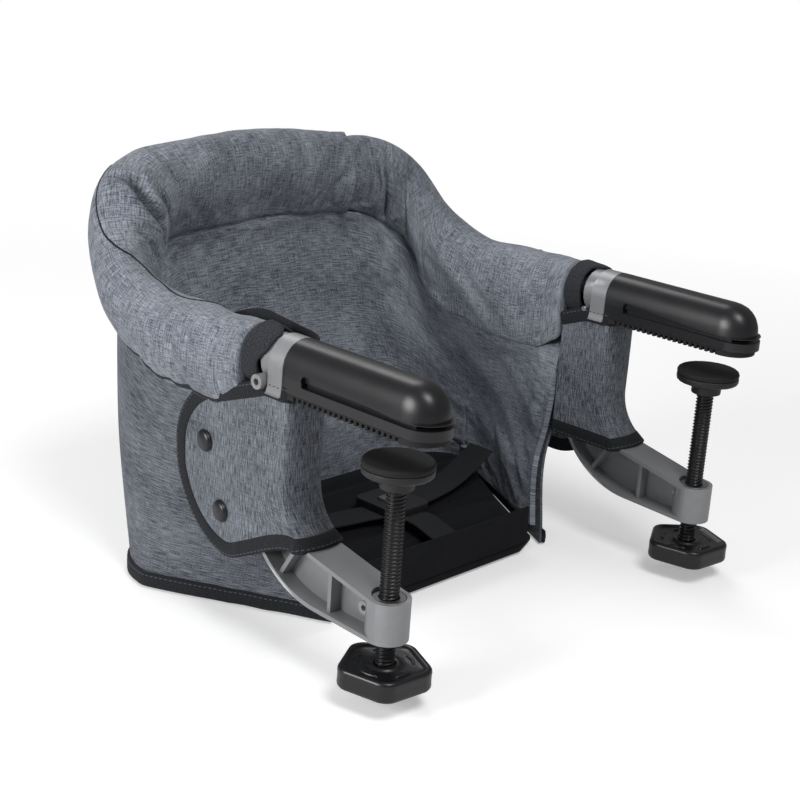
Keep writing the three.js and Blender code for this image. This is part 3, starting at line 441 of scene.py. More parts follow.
def round_edges(piece, width):
    bevel = piece.modifiers.new("Edge round", "BEVEL")
    bevel.width = width
    bevel.segments = 2
    bevel.limit_method = "ANGLE"
    bevel.angle_limit = math.radians(32)
    settle(piece)
    smooth(piece)
    weighted = piece.modifiers.new("Weighted normals", "WEIGHTED_NORMAL")
    weighted.keep_sharp = True


def cutaway(piece, cutter):
    """Cuts a piece with another, and removes the other."""
    boolean = piece.modifiers.new("Cut", "BOOLEAN")
    boolean.object = cutter
    boolean.operation = "DIFFERENCE"
    boolean.solver = "EXACT"
    settle(piece)
    bpy.data.objects.remove(cutter)


def solid_copy(node, name, width, cutters=()):
    """A piece with a solid's own shape, less its cutters, and with rounded edges."""
    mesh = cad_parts[node].data.copy()
    mesh.name = name
    mesh.materials.clear()

    def change(work):
        bmesh.ops.remove_doubles(work, verts=work.verts, dist=WELD_REACH)
        bmesh.ops.dissolve_limit(work, angle_limit=math.radians(1), verts=work.verts, edges=work.edges)
    edit(mesh, change)
    piece = link_piece(name, mesh)
    for cutter in cutters:
        cutaway(piece, cutter)
    round_edges(piece, width)
    return piece


def positions(mesh):
    found = np.empty(len(mesh.vertices) * 3)
    mesh.vertices.foreach_get("co", found)
    return found.reshape(-1, 3)


def vertex_normals(mesh):
    found = np.empty(len(mesh.vertices) * 3, np.float32)
    mesh.vertex_normals.foreach_get("vector", found)
    return found.reshape(-1, 3)


def place_vertices(mesh, points):
    mesh.vertices.foreach_set("co", points.astype(np.float32).ravel())
    mesh.update()


def rumple(points, stretch, height, seed):
    """Smooth random heights at points, with one stretch of the pattern for each axis."""
    shift = Vector((seed, 2 * seed, 3 * seed))
    places = (points / np.array(stretch)).reshape(-1, 3).tolist()
    heights = height * np.array([noise.noise(Vector(place) + shift) for place in places])
    return heights.reshape(points.shape[:-1])


def join_pieces(name, parts):
    """One piece from several, with the first one's materials."""
    bpy.ops.object.select_all(action="DESELECT")
    for part in parts:
        part.select_set(True)
    bpy.context.view_layer.objects.active = parts[0]
    bpy.ops.object.join()
    joined = bpy.context.view_layer.objects.active
    joined.name = name
    joined.data.name = name
    return joined


def dress(piece, material, body, nodes=()):
    """Gives a piece its material, the body that it moves with and the solids it stands for."""
    piece.data.materials.clear()
    piece.data.materials.append(material)
    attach(piece, body)
    if nodes:
        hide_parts(*nodes)
    return piece


# Rounding of the edges of the copied pieces
BUCKLE_ROUND = 1.2 * MM
BUTTON_ROUND = 0.9 * MM
MOULDED_ROUND = 0.6 * MM
SOLE_ROUND = 0.35 * MM
PIN_ROUND = 0.3 * MM


def dressed_copy(node, name, width, finish, body, cutters=()):
    """A copy of a solid, less its cutters, with its finish and body, standing for the solid."""
    return dress(solid_copy(node, name, width, cutters), finish_of(finish), body, [node])


def swept(name, centres, across, lift, section):
    """A band along centres. Each section point is a pair of distances across and along the lift."""
    ring = np.array(section)
    points = centres[:, None] + across[:, None] * ring[..., :1] + lift[:, None] * ring[..., 1:]
    piece = grid_piece(name, points, closed=True, capped=True)
    smooth(piece, 50)
    return piece


THREAD_SHARE = 1 / 6  # radius of a stitch's thread over its length


def stitch_row(name, centres, lift):
    """A row of stitches along a line. Lift is the way out of the cloth."""
    reach = reach_along(centres)
    stitch, pitch = sizes().stitch_length, sizes().stitch_length + sizes().stitch_gap
    starts = np.arange(pitch / 2, reach[-1] - pitch, pitch)
    thread = stitch * THREAD_SHARE
    profile = [(0, 0.35), (0.2, 0.9), (0.5, 1), (0.8, 0.9), (1, 0.35)]
    sides = 6
    points, faces = [], []
    for start in starts:
        first = len(points)
        heads = table_at(start + stitch * np.array([p for p, _ in profile]), reach, centres)
        up = unit(table_at(start, reach, lift))
        along = unit(heads[-1] - heads[0])
        side = np.cross(along, up)
        for head, (_, full) in zip(heads, profile):
            for k in range(sides):
                turn = TURN * k / sides
                points.append(head + thread * full * (math.cos(turn) * side + math.sin(turn) * up))
        for i in range(len(profile) - 1):
            for k in range(sides):
                a, b = first + i * sides + k, first + i * sides + (k + 1) % sides
                faces.append((a, b, b + sides, a + sides))
        faces.append(tuple(first + k for k in reversed(range(sides))))
        faces.append(tuple(first + (len(profile) - 1) * sides + k for k in range(sides)))
    mesh = bpy.data.meshes.new(name)
    mesh.from_pydata([tuple(p) for p in points], [], faces)
    mesh.shade_smooth()
    return link_piece(name, mesh)


def lathe(name, outline, sides):
    """A turned piece about the Z axis, from pairs of radius and height."""
    profile = np.array(outline)
    piece = grid_piece(name, turned(profile[:, :1], even_turns(sides), profile[:, 1:]), closed=True)
    edit(piece.data, lambda work: (
        bmesh.ops.remove_doubles(work, verts=work.verts, dist=WELD_REACH),
        bmesh.ops.recalc_face_normals(work, faces=work.faces)))
    return piece


# Cloth
SWELL_FRAMES = 10
SWELL_CAP = 5 * MM  # how far a point may move


def swell(piece, pressure, growth, pins):
    """Runs a piece as cloth under pressure, and keeps the result within a cap of its first shape."""
    rest = positions(piece.data)
    cloth = piece.modifiers.new("Cloth", "CLOTH")
    settings = cloth.settings
    settings.quality = 5
    settings.mass = 0.2
    settings.tension_stiffness = settings.compression_stiffness = 20
    settings.shear_stiffness = 10
    settings.bending_stiffness = 0.6
    settings.use_pressure = True
    settings.uniform_pressure_force = pressure
    settings.effector_weights.gravity = 0
    settings.shrink_min = -growth
    cloth.collision_settings.use_collision = False
    group = piece.vertex_groups.new(name="Pins")
    for index, weight in enumerate(pins):
        if weight > 0:
            group.add([index], float(weight), "REPLACE")
    settings.vertex_group_mass = group.name
    scene = bpy.context.scene
    for moment in range(1, SWELL_FRAMES + 1):
        scene.frame_set(moment)
    graph = bpy.context.evaluated_depsgraph_get()
    moved = positions(piece.evaluated_get(graph).data) - rest
    scene.frame_set(1)
    piece.modifiers.clear()
    piece.vertex_groups.clear()
    reach = np.linalg.norm(moved, axis=1, keepdims=True)
    place_vertices(piece.data, rest + moved * np.minimum(1, SWELL_CAP / np.maximum(reach, TINY)))


# Node groups and materials
def node_group(name, inputs, outputs):
    """A shader node group with named sockets, and its input and output nodes."""
    group = bpy.data.node_groups.new(name, "ShaderNodeTree")
    for label, kind, value in inputs:
        socket = group.interface.new_socket(name=label, in_out="INPUT", socket_type=kind)
        if value is not None:
            socket.default_value = value
    for label, kind in outputs:
        group.interface.new_socket(name=label, in_out="OUTPUT", socket_type=kind)
    return group, group.nodes.new("NodeGroupInput"), group.nodes.new("NodeGroupOutput")


def value_of(tree, operation, *inputs):
    """A maths node, with its inputs linked or set."""
    node = tree.nodes.new("ShaderNodeMath")
    node.operation = operation
    for socket, given in zip(node.inputs, inputs):
        if isinstance(given, (int, float)):
            socket.default_value = given
        else:
            tree.links.new(given, socket)
    return node.outputs[0]


def plus(tree, first, second):
    return value_of(tree, "ADD", first, second)


def times(tree, first, second):
    return value_of(tree, "MULTIPLY", first, second)


def about_half(tree, value, scale):
    """A value's distance from one half, scaled."""
    return times(tree, value_of(tree, "SUBTRACT", value, 0.5), scale)


def spread(tree, value, low, high, to_low=0.0, to_high=1.0):
    """A value spread from one range to another, and held within it."""
    node = tree.nodes.new("ShaderNodeMapRange")
    for socket, given in zip(node.inputs[1:5], (low, high, to_low, to_high)):
        socket.default_value = given
    tree.links.new(value, node.inputs[0])
    return node.outputs[0]


def noise_of(tree, vector, scale, detail=2.0, rough=0.5):
    node = tree.nodes.new("ShaderNodeTexNoise")
    node.inputs["Detail"].default_value = detail
    node.inputs["Roughness"].default_value = rough
    node.inputs["Scale"].default_value = scale
    tree.links.new(vector, node.inputs["Vector"])
    return node.outputs["Fac"]


def stretched(tree, vector, along, across):
    """A map of the cloth, stretched by different amounts along and across it."""
    node = tree.nodes.new("ShaderNodeVectorMath")
    node.operation = "MULTIPLY"
    node.inputs[1].default_value = (along, across, 1)
    tree.links.new(vector, node.inputs[0])
    return node.outputs[0]


def blend_colours(tree, share, first, second):
    node = tree.nodes.new("ShaderNodeMix")
    node.data_type = "RGBA"
    for socket, given in ((node.inputs["Factor"], share), (node.inputs[6], first), (node.inputs[7], second)):
        if isinstance(given, bpy.types.NodeSocket):
            tree.links.new(given, socket)
        elif isinstance(given, float):
            socket.default_value = given
        else:
            socket.default_value = (*given[:3], 1)
    return node.outputs[2]


def weave_group():
    """Woven threads with slubs. It puts out a share of light thread and a height."""
    group, source, target = node_group(
        "Woven threads",
        [("Cloth", "NodeSocketVector", None), ("Slubs", "NodeSocketFloat", 1.0),
         ("Cross threads", "NodeSocketFloat", 0.7), ("Contrast", "NodeSocketFloat", 1.3)],
        [("Light share", "NodeSocketFloat"), ("Height", "NodeSocketFloat")])

    def threads(along, across, detail, rough, amount):
        cloth = stretched(group, source.outputs["Cloth"], along, across)
        return about_half(group, noise_of(group, cloth, 1, detail, rough), amount)

    slubs = threads(85, 1150, 3, 0.6, source.outputs["Slubs"])
    cross = threads(1250, 120, 3, 0.6, source.outputs["Cross threads"])
    grain = threads(900, 1700, 2, 0.6, 0.7)
    drift = threads(18, 26, 2, 0.5, 0.35)
    total = plus(group, plus(group, slubs, cross), plus(group, grain, drift))
    contrast = times(group, total, source.outputs["Contrast"])
    light = plus(group, times(group, contrast, 1.5), 0.42)
    group.links.new(spread(group, light, 0, 1), target.inputs["Light share"])
    group.links.new(plus(group, total, 0.5), target.inputs["Height"])
    return group


def rib_group():
    """Ribs of a woven tape, painted lighter on their crests and darker in their grooves as painted light and
    shade, with its thread's own roughness.
    """
    group, source, target = node_group(
        "Tape ribs",
        [("Cloth", "NodeSocketVector", None), ("Pitch", "NodeSocketFloat", 900.0)],
        [("Rib", "NodeSocketFloat"), ("Height", "NodeSocketFloat")])
    cloth = source.outputs["Cloth"]
    parts = group.nodes.new("ShaderNodeSeparateXYZ")
    group.links.new(cloth, parts.inputs[0])
    wobble = noise_of(group, stretched(group, cloth, 160, 160), 1, 3)
    turns = times(group, parts.outputs["Y"], source.outputs["Pitch"])
    shifted = plus(group, times(group, turns, TURN), times(group, wobble, 6.0))
    wave = value_of(group, "MULTIPLY_ADD", value_of(group, "SINE", shifted), 0.5, 0.5)
    speck = spread(group, noise_of(group, stretched(group, cloth, 1000, 1000), 1, 3, 0.7), 0.35, 0.65)
    # Painted light and shade: the rib wave darkens the grooves; the speck is the thread's own mottling
    rib = times(group, spread(group, wave, 0, 1, 0.45, 1.0), speck)
    group.links.new(rib, target.inputs["Rib"])
    group.links.new(value_of(group, "MULTIPLY_ADD", wave, 0.4, speck), target.inputs["Height"])
    return group


def grain_group():
    """Fine grain of a moulded or cast surface, with broad changes of gloss."""
    group, source, target = node_group(
        "Surface grain",
        [("Fineness", "NodeSocketFloat", 900.0), ("Gloss drift", "NodeSocketFloat", 0.12)],
        [("Height", "NodeSocketFloat"), ("Gloss", "NodeSocketFloat")])
    place = group.nodes.new("ShaderNodeTexCoord").outputs["Object"]
    fine = group.nodes.new("ShaderNodeTexNoise")
    group.links.new(place, fine.inputs["Vector"])
    group.links.new(source.outputs["Fineness"], fine.inputs["Scale"])
    broad = noise_of(group, place, 38, 3, 0.6)
    group.links.new(fine.outputs["Fac"], target.inputs["Height"])
    group.links.new(about_half(group, broad, source.outputs["Gloss drift"]), target.inputs["Gloss"])
    return group


EDGE_BEND = 0.54  # pointiness at which an edge begins to get its painted highlight


def painted_edges_and_corners_group():
    """Painted highlight where edges stand out and painted shade in corners, from the bend of the surface."""
    group, source, target = node_group(
        "Painted edge light and corner shade",
        [("Reach", "NodeSocketFloat", 0.06)],
        [("Painted edge light", "NodeSocketFloat"), ("Painted corner shade", "NodeSocketFloat")])
    bend = group.nodes.new("ShaderNodeNewGeometry").outputs["Pointiness"]
    patchy = noise_of(group, group.nodes.new("ShaderNodeTexCoord").outputs["Object"], 160, 3, 0.7)
    edge = value_of(group, "DIVIDE", value_of(group, "SUBTRACT", bend, EDGE_BEND), source.outputs["Reach"])
    corner_shade = value_of(group, "DIVIDE", value_of(group, "SUBTRACT", 0.5, bend), source.outputs["Reach"])
    uneven = spread(group, patchy, 0.35, 0.65, 0.5, 1.0)
    group.links.new(times(group, spread(group, edge, 0, 1), uneven), target.inputs["Painted edge light"])
    group.links.new(spread(group, corner_shade, 0, 1), target.inputs["Painted corner shade"])
    return group


GROUPS = {"weave": weave_group, "ribs": rib_group, "grain": grain_group, "painted_edges_and_corners": painted_edges_and_corners_group}
made_groups = {}
made_materials = {}


def placed_group(tree, key, **values):
    """A group node with its own values, and the cloth map if it takes one. Groups are built at first use."""
    if key not in made_groups:
        made_groups[key] = GROUPS[key]()
    node = tree.nodes.new("ShaderNodeGroup")
    node.node_tree = made_groups[key]
    for label, given in values.items():
        node.inputs[label.replace("_", " ").capitalize()].default_value = given
    if "Cloth" in node.inputs:
        place = tree.nodes.new("ShaderNodeUVMap")
        place.uv_map = "Cloth"
        tree.links.new(place.outputs[0], node.inputs["Cloth"])
    return node


def new_material(name, roughness, metallic=0.0, specular=0.5):
    material = bpy.data.materials.new(name)
    material.use_nodes = True
    shader = material.node_tree.nodes["Principled BSDF"]
    shader.inputs["Roughness"].default_value = roughness
    shader.inputs["Metallic"].default_value = metallic
    shader.inputs["Specular IOR Level"].default_value = specular
    return material, material.node_tree, shader


# Depth of the fine relief of each kind of surface
LINEN_RELIEF = 0.5 * MM
TAPE_RELIEF = 0.4 * MM
CANVAS_RELIEF = 0.4 * MM
MOULDED_RELIEF = 0.12 * MM
METAL_RELIEF = 0.1 * MM


def paint(tree, shader, share, first, second):
    """Gives a shader a blend of two colours."""
    tree.links.new(blend_colours(tree, share, first, second), shader.inputs["Base Color"])


def scaled(tone, amount, lift=0.0):
    """A colour made paler or darker, and held below white."""
    return [min(amount * part + lift, 1) for part in tone]


def bump(tree, shader, height, strength, distance):
    node = tree.nodes.new("ShaderNodeBump")
    node.inputs["Strength"].default_value = strength
    node.inputs["Distance"].default_value = distance
    tree.links.new(height, node.inputs["Height"])
    tree.links.new(node.outputs[0], shader.inputs["Normal"])


def grained(tree, shader, roughness, strength, relief, **values):
    """Gives a shader a fine grain and an uneven gloss."""
    grain = placed_group(tree, "grain", **values)
    tree.links.new(plus(tree, grain.outputs["Gloss"], roughness), shader.inputs["Roughness"])
    bump(tree, shader, grain.outputs["Height"], strength, relief)


def linen_material(name, slubs=1.0, cross=0.7, painted_light_level=1.0):
    """Heathered linen: light and dark threads, slubs and a soft sheen."""
    material, tree, shader = new_material(name, 0.92, specular=0.25)
    weave = placed_group(tree, "weave", slubs=slubs, cross_threads=cross)
    # The level scales both thread colours: painted light and shade that makes one linen lighter or darker on
    # each part
    dark, light = scaled(colours().linen_dark, painted_light_level), scaled(colours().linen_light, painted_light_level)
    paint(tree, shader, weave.outputs["Light share"], dark, light)
    shader.inputs["Sheen Weight"].default_value = 0.12
    shader.inputs["Sheen Roughness"].default_value = 0.5
    bump(tree, shader, weave.outputs["Height"], 0.55, LINEN_RELIEF)
    return material


def tape_material(name, tone, pitch=700.0, lift=4.5):
    """Ribbed woven tape: the ribs catch more light than the grooves."""
    material, tree, shader = new_material(name, 0.85, specular=0.15)
    ribs = placed_group(tree, "ribs", pitch=pitch)
    paint(tree, shader, ribs.outputs["Rib"], tone, scaled(tone, lift))
    shader.inputs["Sheen Weight"].default_value = 0.05
    bump(tree, shader, ribs.outputs["Height"], 0.6, TAPE_RELIEF)
    return material


def black_cloth_material(name):
    """Plain black canvas, with a fine even weave."""
    material, tree, shader = new_material(name, 0.9, specular=0.12)
    weave = placed_group(tree, "weave", slubs=0.5, cross_threads=0.5)
    tone = colours().cloth_black
    paint(tree, shader, weave.outputs["Light share"], tone, scaled(tone, 2.4))
    shader.inputs["Sheen Weight"].default_value = 0.03
    bump(tree, shader, weave.outputs["Height"], 0.5, CANVAS_RELIEF)
    return material


def moulded_material(name, tone, roughness, fineness=1500.0, specular=0.5):
    """Moulded plastic or rubber: fine grain, uneven gloss and a painted highlight on its edges."""
    material, tree, shader = new_material(name, roughness, specular=specular)
    painted_edges_and_corners = placed_group(tree, "painted_edges_and_corners", reach=0.09)
    # Painted highlight: the sharp edges are made paler
    paint(tree, shader, times(tree, painted_edges_and_corners.outputs["Painted edge light"], 0.5), tone, scaled(tone, 3.0, 0.01))
    grained(tree, shader, roughness, 0.22, MOULDED_RELIEF, fineness=fineness)
    return material


def metal_material(name, tone, roughness, metallic, corner_shade_share=0.45, fineness=900.0, edge_light=1.25):
    """Cast or turned metal, with a painted highlight on its edges and painted shade in its corners."""
    material, tree, shader = new_material(name, roughness, metallic)
    painted_edges_and_corners = placed_group(tree, "painted_edges_and_corners", reach=0.07)
    # Painted shade darkens the corners, and a painted highlight lightens the edges
    corner_shade = times(tree, painted_edges_and_corners.outputs["Painted corner shade"], 0.6)
    shaded = blend_colours(tree, corner_shade, tone, scaled(tone, corner_shade_share))
    paint(tree, shader, painted_edges_and_corners.outputs["Painted edge light"], shaded, scaled(tone, edge_light))
    grained(tree, shader, roughness, 0.3, METAL_RELIEF, fineness=fineness, gloss_drift=0.2)
    return material


MATERIALS = {
    # One linen on every part, with painted light and shade in its level: the outer wall and flaps are
    # painted darker, the lining lighter
    "sleeve_linen": lambda: linen_material("Sleeve linen", slubs=0.9, cross=0.9, painted_light_level=0.95),
    "shell_linen": lambda: linen_material("Outer linen", slubs=1.45, cross=0.5, painted_light_level=0.56),
    "lining_linen": lambda: linen_material("Lining linen", slubs=1.0, cross=0.7, painted_light_level=1.05),
    "flap_linen": lambda: linen_material("Flap linen", slubs=0.6, cross=1.6, painted_light_level=0.6),
    "black_cloth": lambda: black_cloth_material("Black canvas"),
    "tape": lambda: tape_material("Binding tape", colours().tape),
    "cuff_tape": lambda: tape_material("Cuff webbing", colours().tape, 1400.0, 9.0),
    "strap_tape": lambda: tape_material("Harness webbing", colours().tape, 800.0),
    "thread": lambda: tape_material("Sewing thread", [0.06, 0.063, 0.07], 1600.0, 1.6),
    "piping": lambda: tape_material("Seam piping", [0.012, 0.013, 0.016], 1300.0, 2.0),
    "grip": lambda: moulded_material("Grip plastic", colours().grip, 0.36),
    "rubber": lambda: moulded_material("Sole rubber", colours().rubber, 0.68, 1100.0, specular=0.35),
    "pad_rubber": lambda: moulded_material("Pad rubber", colours().rubber, 0.74, 900.0, specular=0.35),
    "pad_plate": lambda: moulded_material("Pad plate", colours().grip, 0.5),
    # For metals the share before the edge light sets the painted shade in corners, and edge_light sets the
    # painted highlight on edges
    "cast": lambda: metal_material("Cast alloy", colours().cast, 0.42, 0.3, 0.78, edge_light=2.4),
    "steel": lambda: metal_material("Rim steel", colours().steel, 0.3, 0.95),
    "pin": lambda: metal_material("Pin steel", colours().steel, 0.32, 0.9),
    "insert": lambda: metal_material("Insert steel", [0.2, 0.2, 0.21], 0.4, 0.9),
    "screw": lambda: metal_material("Black screw steel", colours().screw, 0.34, 0.4, 0.5, edge_light=3.5),
    "knob": lambda: moulded_material("Knob plastic", colours().knob, 0.33),
    "snap": lambda: moulded_material("Snap plastic", colours().snap, 0.36),
    "buckle": lambda: moulded_material("Buckle plastic", colours().buckle, 0.4),
    "button": lambda: moulded_material("Button plastic", colours().button, 0.45),
}


def finish_of(key):
    """A material, made at its first use."""
    if key not in made_materials:
        made_materials[key] = MATERIALS[key]()
    return made_materials[key]


# Lengths of the drag folds' waves along a fold, across it and across the seat
BROAD_DRAG = (0.13, 0.024, 0.4)
FINE_DRAG = (0.07, 0.011, 0.4)
DRAG_SLANT = math.radians(40)


def drag_folds(places):
    """Folds that run down and forward across the sides, as pairs of broad and fine waves."""
    ahead, aside = -places[..., 1], -places[..., 2]
    run = ahead * math.cos(DRAG_SLANT) + aside * math.sin(DRAG_SLANT)
    across = aside * math.cos(DRAG_SLANT) - ahead * math.sin(DRAG_SLANT)
    cloth = np.stack([run, across, places[..., 0]], -1)
    return rumple(cloth, BROAD_DRAG, 2.6, 23) + rumple(cloth, FINE_DRAG, 0.8, 24)


# Rim sleeve
# Shares of the sleeve's length: its ends' lift, the middle and reach of its sag, and its sides' hem
LIFT_SHARE = 0.035
SAG_SHARE = 0.07
SAG_REACH_SHARE = 0.05
SIDES_SHARE = 0.26
SIDES_FADE_SHARE = 0.08
# Shares of a half turn, from the bottom up the inner side: over the underside, and over the face above it
UNDERSIDE_SHARE = 0.2
FACE_SHARE = 0.3


def sleeve_rings(count, around):
    """Rings of the sleeve's outer face, with their shares along the rim and their turns from the top."""
    first = (SLEEVE_FRONT + TUBE_REACH) / RIM.length
    share = np.linspace(0, 1, count)
    where = mix(first, 1 - first, share)
    centre, along = RIM.at(where), RIM.tangent(where)
    outward = sideways(along)
    turn = even_turns(around)
    rise = np.cos(turn)
    ends = np.minimum(share, 1 - share)
    lifted = FRONT_LIFT * (1 - ease(ends / LIFT_SHARE))
    hang = SLEEVE_HANG - lifted + FRONT_SAG * hill(ends, SAG_SHARE, SAG_REACH_SHARE)
    height = SLEEVE_TOP - (1 - rise)[None] / 2 * (SLEEVE_TOP + hang)[:, None]
    taper = mix(SLEEVE_HEM, SLEEVE_HALF_WIDTH, np.sin(QUARTER * np.minimum((rise + 1) * 0.9, 1)))
    aside = np.sin(turn)
    rounded = taper * np.sign(aside) * np.abs(aside) ** 0.7
    # On the sides the inner face drops straight to a hem, and the underside slants up behind it
    lower = (turn >= math.pi) & (turn <= 1.5 * math.pi)
    on_sides = ease((SIDES_SHARE - ends) / SIDES_FADE_SHARE)[:, None] * lower[None]
    to_hem = np.minimum((turn / math.pi - 1) / UNDERSIDE_SHARE, 1)
    up_face = np.clip((turn / math.pi - (1 + UNDERSIDE_SHARE)) / FACE_SHARE, 0, 1)
    straight = -mix(INNER_HEM_HALF, SLEEVE_HALF_WIDTH, up_face) * to_hem
    level = (SLEEVE_TOP - hang) / 2
    hem_level = -hang[:, None] + mix(HEM_SLANT, -HEM_SLANT, to_hem)[None]
    wide = mix(rounded[None], straight[None], on_sides)
    height = mix(height, mix(hem_level, level[:, None], up_face[None]), on_sides)
    square = unit(np.cross(along, outward))
    upward = np.where((height > 0)[..., None], square[:, None], UP)
    points = centre[:, None] + outward[:, None] * wide[..., None] + upward * height[..., None]
    return points, centre, share, turn


# Creases of the sleeve: shares along the rim with degrees from the top, depth, width, and how far the side
# with the greater shares sinks
CREASES = (
    (((0.300, 348), (0.286, 330), (0.276, 308), (0.268, 280), (0.266, 212)), 16 * MM, 3.6 * MM, 0.0),
    (((0.252, 338), (0.246, 322), (0.240, 300), (0.236, 285)), 4.5 * MM, 3.0 * MM, 0.0),
    (((0.302, 300), (0.312, 262), (0.320, 215)), 5 * MM, 4.0 * MM, 0.0),
    (((0.606, 336), (0.611, 308), (0.622, 215)), 6 * MM, 3.0 * MM, 8.5 * MM),
    (((0.668, 322), (0.673, 290), (0.681, 215)), 6 * MM, 3.4 * MM, 0.0),
    (((0.352, 350), (0.345, 300), (0.349, 230)), 2.2 * MM, 5.0 * MM, 0.0),
    (((0.436, 345), (0.428, 235)), 2.2 * MM, 6.0 * MM, 0.0),
    (((0.530, 345), (0.536, 240)), 2.0 * MM, 6.0 * MM, 0.0),
    (((0.640, 330), (0.648, 230)), 2.6 * MM, 5.0 * MM, 0.0),
    (((0.712, 325), (0.728, 225)), 3.0 * MM, 5.0 * MM, 0.0),
    (((0.770, 315), (0.790, 225)), 2.4 * MM, 6.0 * MM, 0.0),
    (((0.205, 330), (0.190, 235)), 2.4 * MM, 5.0 * MM, 0.0),
    (((0.175, 60), (0.168, 130)), 2.0 * MM, 9.0 * MM, 0.0),
    (((0.100, 60), (0.086, 140)), 2.0 * MM, 9.0 * MM, 0.0),
    (((0.040, 40), (0.030, 150)), 1.6 * MM, 5.0 * MM, 0.0),
)
DEGREE_REACH = 0.44 * MM  # of one degree round the sleeve, for the distances from a crease
SINK_REACH = 30 * MM  # over which the sunk side of a crease comes back
RAISED_REACH = 20 * MM  # and the other side
# Share along the rim and reach of each rear corner's gathers, and share, reach and height of its puff
GATHERED = ((0.30, 0.05), (0.64, 0.05))
PUFFS = ((0.30, 0.06, 8 * MM), (0.69, 0.05, 2.5 * MM))
# Share along the rim from either end where the drag folds end, and over which they fade
DRAG_SHARE = 0.30
DRAG_FADE_SHARE = 0.08
# Lengths of the sleeve's wrinkles: broad and fine in X, Y and Z, and gathers along and round the sleeve
BROAD_WRINKLE = (0.05, 0.05, 0.09)
FINE_WRINKLE = (0.02, 0.025, 0.05)
GATHER = (0.014, 0.03, 1)
# Share along the rim and turn from the top, in degrees, along the piped seam of the right side
SEAM_SHARES = (
    (0.070, 340), (0.098, 0), (0.133, 1), (0.167, 357), (0.200, 356), (0.222, 3), (0.238, 16), (0.252, 27),
    (0.268, 31), (0.284, 32), (0.298, 28), (0.310, 24), (0.318, 22),
)
# How much further out the seam lies on the left side, in degrees
LEFT_SEAM_TURN = 38
# Top edge of the strap inside the right arm, in mm: in from the arm's axis, along Y, and up
ARM_STRAP = (
    (17.0, 108, 25.0), (19.5, 97, 30.0), (21.5, 84, 35.0), (22.0, 70, 37.6), (22.0, 50, 36.0),
    (22.0, 32, 34.2), (21.5, 22, 33.4), (19.5, 16, 32.4), (15.0, 13, 31.0), (10.0, 12, 29.6),
)
ARM_STRAP_WIDTH = 13 * MM
TAPE_HALF_THICKNESS = 0.9 * MM
# Shares of the rim at the hem tape's ends, and where it narrows. Its turn is in degrees from the top
HEM_TAPE_SHARES = (0.004, 0.20)
HEM_TAPE_NARROWS_SHARE = 0.05
HEM_TAPE_FADE_SHARE = 0.08
HEM_TAPE_THIN_SHARE = 0.22
HEM_TAPE_TURN = 139.0


